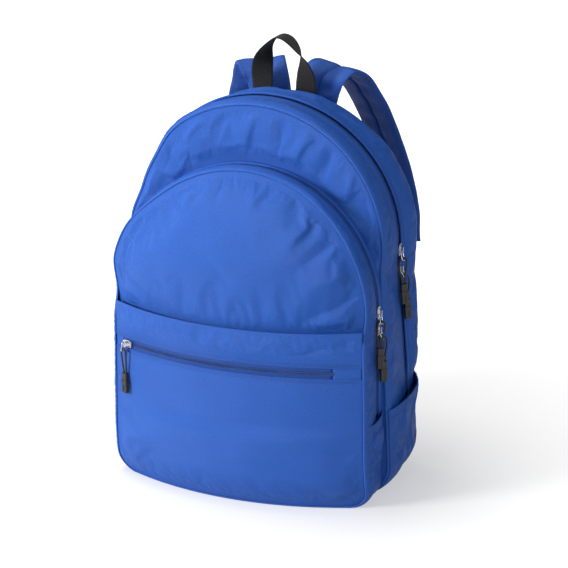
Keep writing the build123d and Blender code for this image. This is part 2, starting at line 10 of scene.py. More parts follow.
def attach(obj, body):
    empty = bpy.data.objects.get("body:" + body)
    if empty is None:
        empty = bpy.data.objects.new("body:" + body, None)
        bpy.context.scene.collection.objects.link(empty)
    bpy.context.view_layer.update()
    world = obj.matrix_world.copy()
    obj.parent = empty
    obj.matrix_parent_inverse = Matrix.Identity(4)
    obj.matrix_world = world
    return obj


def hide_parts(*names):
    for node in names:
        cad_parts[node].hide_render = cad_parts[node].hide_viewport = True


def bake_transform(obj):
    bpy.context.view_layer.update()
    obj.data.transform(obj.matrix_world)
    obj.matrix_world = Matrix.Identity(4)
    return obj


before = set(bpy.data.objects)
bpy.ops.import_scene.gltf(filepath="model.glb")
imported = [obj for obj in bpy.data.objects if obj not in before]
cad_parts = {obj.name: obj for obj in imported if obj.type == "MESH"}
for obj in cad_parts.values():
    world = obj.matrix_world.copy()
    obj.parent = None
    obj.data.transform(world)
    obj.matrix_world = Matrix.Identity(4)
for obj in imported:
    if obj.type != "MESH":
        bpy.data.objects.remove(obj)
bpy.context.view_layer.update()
MM = 0.001

# ------------------------------------------------------------------ outlines, as in the CAD model
MAIN = dict(radius=157.0, centre=297.0, dip=6.8, slant=3.0, corner=38.0, bottom=0.0)
REAR = dict(radius=149.0, centre=293.0, dip=6.8, slant=3.0, corner=38.0, bottom=14.0)
POCKET = dict(radius=155.0, centre=231.0, dip=3.0, slant=1.0, corner=24.0, bottom=0.0)
WAIST = 40.0
FRONT_Y, BACK_Y = -30.0, 82.0
MAIN_ZIP_Y, MAIN_ZIP_TILT, POCKET_ZIP_Y = 20.0, radians(5.0), -44.0
LIP, ZIP_END = 5.5, 104.0
AXIS_Y, FRONT_R, SLIP_TOP, FRONT_ZIP_Z, FRONT_SLOT, FRONT_LIP = 233.7, 351.7, 219.0, 170.0, 8.0, 6.4
FRONT_ZIP_X = (-141.0, 122.0)
COUNTS = (26, 16, 66, 10, 120)  # points along the bottom, corner, side, waist and arch of half an outline


def outline(shape, inset=0.0):
    """Points (x, z) round the arch from the bottom's middle by way of +X, and their outward normals."""
    d, s = radians(shape["dip"]), radians(shape["slant"])
    r, waist, corner = shape["radius"] - inset, WAIST + inset, shape["corner"] - inset
    end = np.array([r * cos(d), shape["centre"] - r * sin(d)])
    hub = end + waist * np.array([cos(d), -sin(d)])
    top = hub - waist * np.array([cos(s), sin(s)])
    base = shape["bottom"] + inset
    low = np.array([top[0] + (top[1] - base) * tan(s), base])
    up = (top - low) / np.linalg.norm(top - low)
    reach = corner / tan(acos(-up[0]) / 2)
    a, b = low - np.array([reach, 0]), low + up * reach
    hub_c = a + np.array([0, corner])
    turn = atan2(b[1] - hub_c[1], b[0] - hub_c[0])
    half = []
    for t in np.linspace(0, 1, COUNTS[0], endpoint=False):
        half.append([a[0] * t, base])
    for t in np.linspace(-pi / 2, turn, COUNTS[1], endpoint=False):
        half.append(hub_c + corner * np.array([cos(t), sin(t)]))
    for t in np.linspace(0, 1, COUNTS[2], endpoint=False):
        half.append(b + (top - b) * t)
    for t in np.linspace(s, -d, COUNTS[3], endpoint=False):
        half.append(hub - waist * np.array([cos(t), sin(t)]))
    for t in np.linspace(-d, pi / 2, COUNTS[4]):
        half.append(np.array([0, shape["centre"]]) + r * np.array([cos(t), sin(t)]))
    half = np.array(half)
    whole = np.vstack([half, (half * [-1, 1])[-2:0:-1]])
    tangent = np.roll(whole, -1, 0) - np.roll(whole, 1, 0)
    tangent /= np.linalg.norm(tangent, axis=1)[:, None]
    return whole, np.stack([tangent[:, 1], -tangent[:, 0]], 1)


HALF = sum(COUNTS)
main_p, main_n = outline(MAIN)
rear_p = outline(REAR)[0]
pocket_p, pocket_n = outline(POCKET)


def loop_distance(points):
    """Distance round a closed loop, from its first point to each."""
    step = np.linalg.norm(np.diff(points, axis=0, append=points[:1]), axis=-1)
    return np.concatenate([[0], np.cumsum(step)[:-1]])


def line_distance(points):
    """Distance along an open line, from its first point to each."""
    return np.concatenate([[0], np.cumsum(np.linalg.norm(np.diff(points, axis=0), axis=1))])


main_s, pocket_s = loop_distance(main_p), loop_distance(pocket_p)


def smooth(x, a, b):
    """A step from 0 at a to 1 at b, level at both ends."""
    t = np.clip((x - a) / (b - a), 0, 1)
    return t * t * (3 - 2 * t)


# ------------------------------------------------------------------ soft shapes: noise and folds
LATTICE = 64  # the noise repeats after this many cells


def noise2(a, b, cell, seed):
    """Smooth noise from -1 to 1 on a lattice of the given cell size."""
    lattice = np.random.RandomState(seed).rand(LATTICE, LATTICE) * 2 - 1
    x, y = np.asarray(a, float) / cell + 31.0, np.asarray(b, float) / cell + 17.0
    xi, yi = np.floor(x).astype(int), np.floor(y).astype(int)
    fx, fy = x - xi, y - yi
    fx, fy = fx**3 * (fx * (fx * 6 - 15) + 10), fy**3 * (fy * (fy * 6 - 15) + 10)

    def corner(i, j):
        return lattice[(xi + i) % LATTICE, (yi + j) % LATTICE]

    low = corner(0, 0) * (1 - fx) + corner(1, 0) * fx
    high = corner(0, 1) * (1 - fx) + corner(1, 1) * fx
    return low * (1 - fy) + high * fy


def folds(a, b, table):
    """Soft ridges or hollows along segments: a0, b0, a1, b1, width on one side, on the other, height."""
    out = np.zeros(np.broadcast(a, b).shape)
    for a0, b0, a1, b1, left, right, height in table:
        da, db = a1 - a0, b1 - b0
        size = sqrt(da * da + db * db)
        t = ((a - a0) * da + (b - b0) * db) / size**2
        side = ((a - a0) * db - (b - b0) * da) / size
        width = np.where(side > 0, left, right)
        beyond = np.maximum(np.maximum(-t, t - 1), 0) * size
        taper = np.clip(np.sin(pi * np.clip(t, 0.02, 0.98)), 0, 1) ** 0.5
        out = out + height * taper * np.exp(-((side / width) ** 2) - (beyond / (0.6 * (left + right))) ** 2)
    return out


# ------------------------------------------------------------------ meshes
def make(name, verts, faces, material, body="bag", uvs=None, slot=None, stands_for=(), shade=True):
    """A mesh object from millimetre points, riding on a body and standing for CAD nodes."""
    mesh = bpy.data.meshes.new(name)
    corners = [tuple(int(i) for i in f) for f in faces]
    mesh.from_pydata([tuple(v) for v in np.asarray(verts) * MM], [], corners)
    if uvs is not None:
        layer = mesh.uv_layers.new(name="UVMap")
        corner = np.array([v for f in corners for v in f])
        layer.data.foreach_set("uv", (np.asarray(uvs)[corner] * MM).ravel().astype(np.float32))
    mesh.polygons.foreach_set("use_smooth", [shade] * len(mesh.polygons))
    mesh.materials.append(material)
    obj = bpy.data.objects.new(name, mesh)
    bpy.context.collection.objects.link(obj)
    if body:
        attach(obj, body)
    if stands_for:
        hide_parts(*stands_for)
    return obj


def grid_faces(nu, nv, closed=False, flip=False):
    """Quads of a grid of nu rows of nv points; closed joins its last row to its first."""
    faces = []
    for i in range(nu if closed else nu - 1):
        k = (i + 1) % nu
        for j in range(nv - 1):
            f = (i * nv + j, k * nv + j, k * nv + j + 1, i * nv + j + 1)
            faces.append(f[::-1] if flip else f)
    return faces


def tube_faces(rows, count):
    """Faces of a tube of rings of points, with both ends closed."""
    faces = []
    for i in range(rows - 1):
        for j in range(count):
            k = (j + 1) % count
            faces.append((i * count + j, i * count + k, (i + 1) * count + k, (i + 1) * count + j))
    faces.append(tuple(range(count))[::-1])
    faces.append(tuple((rows - 1) * count + k for k in range(count)))
    return faces


def grid_normals(grid, closed=False):
    """Unit normals of a grid of points, as its faces are wound."""
    if closed:
        du = np.roll(grid, -1, 0) - np.roll(grid, 1, 0)
    else:
        du = np.gradient(grid, axis=0)
    n = np.cross(du, np.gradient(grid, axis=1))
    return n / np.maximum(np.linalg.norm(n, axis=-1), 1e-9)[..., None]


def thicken(obj, thickness):
    """Gives a sheet thickness behind its faces."""
    mod = obj.modifiers.new("cloth thickness", "SOLIDIFY")
    mod.thickness = thickness * MM
    mod.offset = -1.0
    mod.use_even_offset = False


FLOOR_GAP = 1.1  # panels stay this far above the floor, with room for their own thickness


def cloth_panel(name, grid, uv, material, closed=False, flip=False, thickness=0.9, slot="shell_fabric",
                stands_for=()):
    """A sewn panel from a grid of points, with thickness towards the inside of the bag."""
    nu, nv = grid.shape[:2]
    faces = grid_faces(nu, nv, closed, flip)
    grid = np.concatenate([grid[..., :2], np.maximum(grid[..., 2:], FLOOR_GAP)], -1)
    obj = make(name, grid.reshape(-1, 3), faces, material, uvs=uv.reshape(-1, 2), slot=slot,
               stands_for=stands_for)
    thicken(obj, thickness)
    return obj


SETTLE_FRAMES = 16
LEVELS = 10  # steps of how firmly the cloth is held


def settle(grid, loose, closed=False, flip=False, grow=0.02, pressure=1.2, cap=3.0, crisp=1.0):
    """Cloth simulation of a sewn panel cut a little too large: the grid it comes to rest in.

    loose is 0 where the cloth is sewn down and 1 where it is free, grow is how much too large it is cut,
    and cap limits how far a point moves.
    """
    nu, nv = grid.shape[:2]
    mesh = bpy.data.meshes.new("settling")
    mesh.from_pydata([tuple(v) for v in grid.reshape(-1, 3) * MM], [], grid_faces(nu, nv, closed, flip))
    obj = bpy.data.objects.new("settling", mesh)
    bpy.context.collection.objects.link(obj)
    held = obj.vertex_groups.new(name="held")
    weights = 1 - np.clip(loose, 0, 1).ravel()
    for level in range(1, LEVELS + 1):
        members = np.flatnonzero(np.round(weights * LEVELS).astype(int) == level)
        if len(members):
            held.add([int(i) for i in members], level / LEVELS, "REPLACE")
    mod = obj.modifiers.new("cloth", "CLOTH")
    cloth = mod.settings
    cloth.quality = 6
    cloth.mass = 0.12
    cloth.tension_stiffness = 20
    cloth.compression_stiffness = 20
    cloth.shear_stiffness = 8
    cloth.bending_stiffness = 0.35 * crisp
    cloth.air_damping = 3
    cloth.tension_damping = 12
    cloth.compression_damping = 12
    cloth.vertex_group_mass = "held"
    cloth.pin_stiffness = 1
    cloth.shrink_min = -grow
    cloth.use_pressure = True
    cloth.uniform_pressure_force = pressure
    cloth.effector_weights.gravity = 0
    mod.collision_settings.use_collision = False
    mod.point_cache.frame_end = SETTLE_FRAMES + 1
    scene = bpy.context.scene
    for step in range(1, SETTLE_FRAMES + 1):
        scene.frame_set(step)
    done = obj.evaluated_get(bpy.context.evaluated_depsgraph_get()).to_mesh()
    moved = np.empty(len(done.vertices) * 3, dtype=np.float32)
    done.vertices.foreach_get("co", moved)
    moved = moved.reshape(nu, nv, 3) / MM - grid
    bpy.data.objects.remove(obj)
    scene.frame_set(1)
    far = np.linalg.norm(moved, axis=-1)
    if not np.isfinite(far).all():
        return grid
    moved *= (cap * np.tanh(far / cap) / np.maximum(far, 1e-6))[..., None]
    return grid + moved * np.clip(loose * 3, 0, 1)[..., None]


def oriented(along, normal):
    """A rotation for each point, whose columns are along, across and normal."""
    along = along / np.maximum(np.linalg.norm(along, axis=-1), 1e-9)[..., None]
    normal = normal - along * np.sum(normal * along, -1)[..., None]
    normal = normal / np.maximum(np.linalg.norm(normal, axis=-1), 1e-9)[..., None]
    return np.stack([along, np.cross(normal, along), normal], -1)


def capsule(length, width, height, rings=3, sides=6):
    """A small lozenge along x as (verts, faces)."""
    verts = []
    for i in range(rings + 1):
        t = -1 + 2 * i / rings
        size = (1 - abs(t) ** 3) * 0.75 + 0.25
        for k in range(sides):
            a = 2 * pi * k / sides
            verts.append((t * length / 2, cos(a) * width / 2 * size, sin(a) * height / 2 * size))
    return np.array(verts), tube_faces(rings + 1, sides)


def scatter(name, shape, centres, turns, material, **more):
    """One mesh with a copy of a small shape at each centre, turned as given."""
    verts, faces = shape
    every = np.einsum("nij,vj->nvi", turns, verts) + centres[:, None, :]
    count = len(verts)
    all_faces = [tuple(i + n * count for i in f) for n in range(len(centres)) for f in faces]
    return make(name, every.reshape(-1, 3), all_faces, material, **more)


def resample(points, pitch, *others):
    """Points every pitch along a line, and other arrays taken at the same places."""
    s = line_distance(points)
    at = np.arange(pitch / 2, s[-1], pitch)
    picked = []
    for values in (points, *others):
        picked.append(np.stack([np.interp(at, s, values[:, k]) for k in range(values.shape[1])], 1))
    return picked


STITCH = capsule(2.7, 0.75, 0.55)
seams = {}  # the rows of stitches so far, by group


def stitch(group, points, normals, pitch=3.5, lift=0.08):
    """Adds a row of stitches along a line on the fabric to a named group."""
    centres, up = resample(points, pitch, normals)
    along = np.gradient(centres, axis=0)
    turns = oriented(along, up)
    up = turns[..., 2]
    seams.setdefault(group, []).append((centres + up * lift, turns))


def sew(material, **bodies):
    """Makes the stitches of each group into one mesh."""
    for group, rows in seams.items():
        centres = np.vstack([r[0] for r in rows])
        turns = np.vstack([r[1] for r in rows])
        body = bodies.get(group, "bag")
        scatter("stitches_" + group, STITCH, centres, turns, material, body=body, slot="shell_fabric")


# ------------------------------------------------------------------ materials
def node_material(name):
    """A new material with its node tree and its shader."""
    mat = bpy.data.materials.new(name)
    mat.use_nodes = True
    tree = mat.node_tree
    shader = tree.nodes["Principled BSDF"]
    return mat, tree, shader


def put(node, socket, value):
    """Sets an input that is the same all over the surface."""
    node.inputs[socket].default_value = value


def link(tree, a, b):
    tree.links.new(a, b)


def math_node(tree, operation, a, b=None):
    """A Math node's output; a and b are numbers or outputs of other nodes."""
    node = tree.nodes.new("ShaderNodeMath")
    node.operation = operation
    for socket, value in zip(node.inputs, (a, b)):
        if value is None:
            continue
        if isinstance(value, (int, float)):
            socket.default_value = value
        else:
            link(tree, value, socket)
    return node.outputs[0]


def times(tree, a, b):
    return math_node(tree, "MULTIPLY", a, b)


def plus(tree, a, b):
    return math_node(tree, "ADD", a, b)


def noise_node(tree, vector, scale, detail, rough=0.55):
    node = tree.nodes.new("ShaderNodeTexNoise")
    put(node, "Scale", scale)
    put(node, "Detail", detail)
    put(node, "Roughness", rough)
    link(tree, vector, node.inputs["Vector"])
    return node.outputs["Fac"]


def ramp_node(tree, value, stops):
    """Colours by value, from (place, colour) stops."""
    node = tree.nodes.new("ShaderNodeValToRGB")
    ramp = node.color_ramp
    while len(ramp.elements) < len(stops):
        ramp.elements.new(0.5)
    for element, (at, colour) in zip(ramp.elements, stops):
        element.position = at
        element.color = (*colour, 1)
    link(tree, value, node.inputs["Fac"])
    return node.outputs["Color"]


def mix_node(tree, factor, a, b):
    """Colour a where factor is 0 and b where it is 1."""
    node = tree.nodes.new("ShaderNodeMix")
    node.data_type = "RGBA"
    for socket, value in ((node.inputs[0], factor), (node.inputs[6], a), (node.inputs[7], b)):
        if isinstance(value, (int, float)):
            socket.default_value = value
        elif isinstance(value, tuple):
            socket.default_value = (*value, 1)
        else:
            link(tree, value, socket)
    return node.outputs[2]


def relief_node(tree, shader, height, strength, distance):
    """Bump on a shader; distance is in metres."""
    relief = tree.nodes.new("ShaderNodeBump")
    put(relief, "Strength", strength)
    put(relief, "Distance", distance)
    link(tree, height, relief.inputs["Height"])
    link(tree, relief.outputs[0], shader.inputs["Normal"])


def woven(name, light, dark, pitch=0.00062, ribs=1.0, rough=0.50, sheen=0.02, tint=(0.4, 0.7, 1.0),
          bump=0.8):
    """Plain weave over UVs in metres: over-and-under threads, uneven yarn, slubs and a little fading."""
    mat, tree, shader = node_material(name)
    uv = tree.nodes.new("ShaderNodeUVMap")
    uv.uv_map = "UVMap"
    split = tree.nodes.new("ShaderNodeSeparateXYZ")
    link(tree, uv.outputs["UV"], split.inputs[0])
    k = 2 * pi / pitch
    warp = math_node(tree, "SINE", times(tree, split.outputs[0], k))
    weft = math_node(tree, "SINE", times(tree, split.outputs[1], k * ribs))
    crossing = times(tree, warp, weft)
    yarn = noise_node(tree, uv.outputs["UV"], 560.0, 4.0, 0.7)
    cloud = noise_node(tree, uv.outputs["UV"], 22.0, 4.0)
    threads = times(tree, crossing, 0.5)
    weave = plus(tree, threads, times(tree, yarn, 1.5))
    fading = times(tree, cloud, 0.28)
    tone = plus(tree, times(tree, weave, 0.75), fading)
    colour = ramp_node(tree, tone, [(0.5, dark), (0.86, light)])
    link(tree, colour, shader.inputs["Base Color"])
    gloss = plus(tree, times(tree, weave, -0.08), rough)
    link(tree, gloss, shader.inputs["Roughness"])
    put(shader, "Sheen Weight", sheen)
    put(shader, "Sheen Roughness", 0.45)
    put(shader, "Sheen Tint", (*tint, 1))
    put(shader, "Specular IOR Level", 0.24)
    relief_node(tree, shader, weave, bump, max(0.0002, 0.25 * pitch))
    return mat


def hard(name, colour, other, rough, scale, metal=0.0, bump=0.24):
    """Moulded plastic, rubber or plated metal with fine grain and small differences in tone."""
    mat, tree, shader = node_material(name)
    place = tree.nodes.new("ShaderNodeTexCoord")
    grain = noise_node(tree, place.outputs["Object"], scale, 4.0)
    worn = noise_node(tree, place.outputs["Object"], scale * 0.13, 3.0)
    link(tree, ramp_node(tree, worn, [(0.3, colour), (0.7, other)]), shader.inputs["Base Color"])
    gloss = plus(tree, times(tree, grain, 0.22), rough - 0.1)
    link(tree, gloss, shader.inputs["Roughness"])
    put(shader, "Metallic", metal)
    relief_node(tree, shader, grain, bump, 0.0001)
    return mat


BLUE, DEEP = (0.021, 0.112, 0.480), (0.011, 0.062, 0.310)
polyester = woven("royal blue polyester", BLUE, DEEP)
strap_cloth = woven("strap polyester", (0.018, 0.092, 0.400), (0.010, 0.052, 0.260))
back_cloth = woven("back polyester", (0.022, 0.110, 0.460), (0.012, 0.062, 0.290))
lining = woven("dark lining", (0.014, 0.045, 0.200), (0.008, 0.025, 0.120), sheen=0.1)
# The zip tape is darkened below the fabric's own blue: painted shade of the slot it lies in.
tape = woven("zip tape with painted slot shade", (0.012, 0.066, 0.310), (0.004, 0.026, 0.150), pitch=0.0013, ribs=0.5)
webbing = woven("black webbing", (0.020, 0.020, 0.022), (0.002, 0.002, 0.003), pitch=0.0024, ribs=0.6,
                rough=0.85, tint=(0.6, 0.6, 0.6), sheen=0.15, bump=1.0)
# The thread is darker than the fabric: painted shade of the small dimples the stitches sit in, which are not
# modelled.
thread = hard("blue thread with painted dimple shade", (0.008, 0.046, 0.230), (0.005, 0.028, 0.150), 0.55, scale=900.0)
# The coil is navy, and darkened further as painted shade of the zip's slot.
coil = hard("blue nylon coil with painted slot shade", (0.014, 0.055, 0.240), (0.024, 0.080, 0.300), 0.38, scale=500.0)
nickel = hard("nickel plate", (0.72, 0.72, 0.74), (0.60, 0.60, 0.62), 0.24, metal=1.0, scale=320.0)
bright = hard("bright nickel wire", (0.80, 0.80, 0.82), (0.68, 0.68, 0.70), 0.18, metal=1.0, scale=420.0)
black_grip = hard("black moulding", (0.016, 0.016, 0.018), (0.026, 0.026, 0.029), 0.42, scale=700.0,
                  bump=0.48)
acetal = hard("black acetal", (0.018, 0.018, 0.020), (0.030, 0.030, 0.033), 0.36, scale=500.0)


def braid(name):
    """Black braided cord: slanting bands of thread."""
    mat, tree, shader = node_material(name)
    place = tree.nodes.new("ShaderNodeTexCoord")
    wave = tree.nodes.new("ShaderNodeTexWave")
    put(wave, "Scale", 520.0)
    put(wave, "Distortion", 1.5)
    wave.bands_direction = "DIAGONAL"
    link(tree, place.outputs["Object"], wave.inputs["Vector"])
    stops = [(0.1, (0.008, 0.008, 0.009)), (0.9, (0.035, 0.035, 0.038))]
    colour = ramp_node(tree, wave.outputs["Fac"], stops)
    link(tree, colour, shader.inputs["Base Color"])
    put(shader, "Roughness", 0.7)
    put(shader, "Sheen Weight", 0.2)
    relief_node(tree, shader, wave.outputs["Fac"], 0.6, 0.0002)
    return mat


cord_cloth = braid("black braided cord")


# ------------------------------------------------------------------ camera, floor and light
def place_camera():
    """The photograph's view, fitted to it: azimuth, elevation, distance in metres and lens."""
    a, e, distance = radians(22.15), radians(18.68), 2.5548
    back = Vector((sin(a) * cos(e), -cos(a) * cos(e), sin(e)))
    right = Vector((cos(a), sin(a), 0))
    up = back.cross(right)
    aim = Vector((0, 0, 0.2158)) + right * 0.02244 + up * 0.01409
    data = bpy.data.cameras.new("camera")
    data.sensor_width = 36
    data.lens = 138.88
    data.clip_end = 30
    camera = bpy.data.objects.new("camera", data)
    turn = Matrix((right, up, back)).transposed().to_4x4()
    camera.matrix_world = Matrix.Translation(aim + back * distance) @ turn
    bpy.context.collection.objects.link(camera)
    bpy.context.scene.camera = camera


def area_light(name, place, aim, size, power):
    """A round soft light, in metres and watts."""
    data = bpy.data.lights.new(name, "AREA")
    data.shape = "DISK"
    data.size = size
    data.energy = power
    lamp = bpy.data.objects.new(name, data)
    lamp.location = place
    lamp.rotation_euler = (Vector(aim) - Vector(place)).to_track_quat("-Z", "Y").to_euler()
    bpy.context.collection.objects.link(lamp)


def studio():
    """White surroundings whose light is strongest from the front left and above, and weak from the right."""
    world = bpy.data.worlds.new("studio")
    bpy.context.scene.world = world
    bpy.context.scene.view_settings.view_transform = "Standard"
    world.use_nodes = True
    tree = world.node_tree
    place = tree.nodes.new("ShaderNodeTexCoord")
    toward = tree.nodes.new("ShaderNodeVectorMath")
    toward.operation = "DOT_PRODUCT"
    toward.inputs[1].default_value = (-0.62, -0.52, 0.59)
    link(tree, place.outputs["Generated"], toward.inputs[0])
    facing = plus(tree, times(tree, toward.outputs["Value"], 0.5), 0.5)
    stops = [(0.35, (0.02, 0.02, 0.024)), (0.65, (0.2, 0.2, 0.21)), (0.95, (0.8, 0.8, 0.8))]
    strength = ramp_node(tree, facing, stops)
    seen = tree.nodes.new("ShaderNodeLightPath")
    sky = mix_node(tree, seen.outputs["Is Camera Ray"], strength, (1.0, 1.0, 1.0))
    link(tree, sky, tree.nodes["Background"].inputs[0])
    area_light("key", (-1.9, -2.0, 1.0), (0, 0, 0.25), 0.9, 88)
    area_light("fill", (2.3, -1.0, 1.3), (0, 0, 0.2), 1.4, 18)
    area_light("top", (-0.6, 0.1, 2.4), (0, 0, 0.2), 1.2, 26)
    mat, tree, shader = node_material("pale floor")
    put(shader, "Base Color", (0.55, 0.55, 0.55, 1))
    put(shader, "Roughness", 0.3)
    put(shader, "Emission Color", (1, 1, 1, 1))
    spot = tree.nodes.new("ShaderNodeTexCoord")
    reach = tree.nodes.new("ShaderNodeVectorMath")
    reach.operation = "LENGTH"
    link(tree, spot.outputs["Object"], reach.inputs[0])
    away = times(tree, reach.outputs["Value"], 0.5)
    glow = ramp_node(tree, away, [(0.1, (0.46,) * 3), (0.6, (1.0,) * 3)])
    path = tree.nodes.new("ShaderNodeLightPath")
    shown = mix_node(tree, path.outputs["Is Camera Ray"], (0.2, 0.2, 0.2), glow)
    link(tree, shown, shader.inputs["Emission Strength"])
    half = 30000
    corners = [(-half, -half, 0), (half, -half, 0), (half, half, 0), (-half, half, 0)]
    make("floor", corners, [(0, 1, 2, 3)], mat, body=None, shade=False)


place_camera()
studio()

# ------------------------------------------------------------------ walls and gussets: shared shapes
LEVEL_BELOW = 96.0  # under this height the zips' seams run straight down and are closed
CLOSED_GAP = 0.15
HEM = 1.6  # how far an edge beside a zip turns in
TAPER_FROM = 44.0  # behind this depth the main compartment narrows to its back
STAND_OFF = 3.4  # the front wall's seam lies this far inside the main outline


def main_zip_y(z):
    """Where the middle of the main zip is, front to back, at height z. It runs on under the side pockets."""
    return MAIN_ZIP_Y - tan(MAIN_ZIP_TILT) * (np.maximum(z, LEVEL_BELOW) - MAIN["centre"])


def lip_gap(z):
    """Half the slot between the fabric edges beside a zip; it closes below the zip's end."""
    return CLOSED_GAP + (LIP - CLOSED_GAP) * smooth(z, LEVEL_BELOW, 103.0)


def main_wall(y):
    """The loop of the main compartment's wall at each depth y, drawn in towards the back."""
    f = np.clip((np.asarray(y, float) - TAPER_FROM) / (BACK_Y - TAPER_FROM), 0, 1) ** 1.7
    return main_p[:, None, :] * (1 - f)[..., None] + rear_p[:, None, :] * f[..., None]


def wall_grid(loop, normals, ys, lift):
    """Points of a wall from its loop (u, v, 2), depths (u, v) and outward lift (u, v)."""
    out = loop + normals[:, None, :] * lift[..., None]
    return np.stack([out[..., 0], ys, out[..., 1]], -1)


def spaced(first, middle, last):
    """Given places, then evenly spaced ones, then given ones."""
    return np.concatenate([np.array(first, float), np.linspace(*middle), np.array(last, float)])


def rounded_in(distance, width, depth):
    """How far a surface draws in over the last `width` before a seam that lies `depth` inside."""
    return depth * (1 - np.sqrt(np.clip(1 - (1 - np.clip(distance / width, 0, 1)) ** 2, 0, 1)))


def hemmed_band(name, grid, ys, distance, normals, nodes, step, last=False, flip=False):
    """A gusset panel with a hem at its zip edge; `step` is the hem's change in depth."""
    edge = (grid[:, -1:] if last else grid[:, :1]).copy()
    edge[..., 0::2] -= normals[:, None, :] * HEM
    edge_y = (ys[:, -1:] if last else ys[:, :1]) + step
    order = 1 if last else -1
    grid = np.concatenate([grid, edge][::order], 1)
    ys = np.concatenate([ys, edge_y][::order], 1)
    uv = np.stack([np.repeat(distance[:, None], ys.shape[1], 1), ys], -1)
    cloth_panel(name, grid, uv, polyester, closed=True, flip=flip, stands_for=nodes)
    return grid


# ------------------------------------------------------------------ main compartment
# Folds on the side walls, in (distance round the loop from the bottom's middle, depth y).
top_s = main_s[HALF - 1]
GUSSET_FOLDS = [
    (top_s - 250, 24, top_s - 190, 60, 9, 5, 2.2),
    (top_s - 235, -22, top_s - 205, 8, 7, 4, -1.6),
    (top_s - 60, 24, top_s - 90, 70, 10, 5, -1.8),
    (top_s - 130, 22, top_s - 150, 66, 10, 6, 1.8),
    (top_s + 60, 24, top_s + 90, 70, 10, 5, 1.8),
    (top_s + 150, 20, top_s + 120, 66, 10, 6, -1.8),
    (top_s - 330, 30, top_s - 280, 74, 12, 6, -2.4),
    (top_s - 400, 40, top_s - 300, 58, 11, 6, 2.6),
    (top_s + 330, 30, top_s + 280, 74, 12, 6, 2.4),
]


def wall_lift(s, y, front, back, amount, z):
    """How far a wall of cloth stands out from its sewing lines at front and back."""
    a, b = np.maximum(y - front, 0), np.maximum(back - y, 0)
    puff = amount * (1 - np.exp(-a / 11)) * (1 - np.exp(-b / 11))
    lively = smooth(np.minimum(a, b), 1, 14)
    waves = noise2(s, y * 1.3, 46, 5) * 1.3 + noise2(s * 1.1, y, 21, 9) * 0.5
    creases = folds(s, y, GUSSET_FOLDS)
    return puff + lively * (waves + creases) * smooth(z, 6, 40)


# How far each left shoulder leans to the right, and the heights between which it does.
MAIN_LEAN = (8.0, 300, 425)
POCKET_LEAN = (-9.0, 226, 356)


def leaning(grid, lean, share=1.0):
    """Shift the left shoulder of a panel sideways."""
    reach, low, high = lean
    x, z = grid[..., 0], grid[..., 2]
    rise, fall = low + 0.35 * (high - low), high - 0.4 * (high - low)
    bump = smooth(z, low, rise) * (1 - smooth(z, fall, high))
    grid[..., 0] = x + reach * smooth(-x, 60, 118) * bump * share
    return grid


def main_front_band():
    """From the front wall's seam back to the zip."""
    y1 = main_zip_y(main_p[:, 1]) - lip_gap(main_p[:, 1])
    t = spaced([0, 0.02, 0.045, 0.08, 0.12, 0.18], (0.25, 0.8, 10),
               [0.86, 0.9, 0.93, 0.955, 0.975, 0.99, 1.0])
    ys = FRONT_Y + (y1[:, None] - FRONT_Y) * t[None, :]
    s = main_s[:, None] + 0 * ys
    z = main_p[:, 1][:, None] + 0 * ys
    to_zip = y1[:, None] - ys
    lift = wall_lift(s, ys, FRONT_Y, y1[:, None] - 13, 3.0, z)
    lift = lift * smooth(to_zip, 6, 18) - rounded_in(ys - FRONT_Y, 9.0, STAND_OFF)
    grid = wall_grid(main_p[:, None, :] + 0 * ys[..., None], main_n, ys, lift)
    grid = leaning(grid, MAIN_LEAN, smooth(to_zip, 6, 24))
    loose = smooth(ys - FRONT_Y, 2, 14) * smooth(to_zip, 7, 20) * smooth(z, 8, 30)
    grid = settle(grid, loose, closed=True, pressure=1.0, cap=3.0)
    return hemmed_band("main_front_gusset", grid, ys, main_s, main_n, ("front_gusset",), HEM, last=True)


def main_rear_band():
    """From the zip back to the back seam, drawn in towards the back, its front edge folded over the zip."""
    zy = main_zip_y(main_p[:, 1])
    over = smooth(main_p[:, 1], 120, 150) * 0.9
    y0 = zy + lip_gap(main_p[:, 1]) - over
    t = spaced([0, 0.01, 0.025, 0.045, 0.07, 0.1], (0.15, 0.85, 15), [0.9, 0.94, 0.97, 0.985, 1.0])
    ys = y0[:, None] + (BACK_Y - y0[:, None]) * t[None, :]
    s = main_s[:, None] + 0 * ys
    z = main_p[:, 1][:, None] + 0 * ys
    from_zip, to_back = ys - y0[:, None], BACK_Y - ys
    lift = wall_lift(s, ys, y0[:, None] + 13, BACK_Y, 3.0, z) * smooth(from_zip, 6, 18)
    # The side walls bulge, the edge folded over the zip stands up, and the top is drawn down to the back.
    side = smooth(z, 112, 150) * (1 - smooth(z, 330, 400))
    lift = lift + (0.4 + 6.0 * side) * smooth(from_zip, 5.5, 13) * smooth(to_back, 2, 26)
    lift = lift + 1.9 * np.exp(-((from_zip / 6.5) ** 2)) * (over[:, None] / 0.9)
    lift = lift - 5.0 * smooth(z, 385, 440) * smooth(from_zip, 4, 30) * smooth(to_back, 0, 14)
    grid = wall_grid(main_wall(ys), main_n, ys, lift)
    loose = smooth(to_back, 2, 14) * smooth(from_zip, 7, 20) * smooth(z, 16, 40)
    grid = settle(grid, loose, closed=True, pressure=1.0, cap=3.5)
    return hemmed_band("main_rear_gusset", grid, ys, main_s, main_n, ("rear_gusset", "base_gusset"), -HEM)


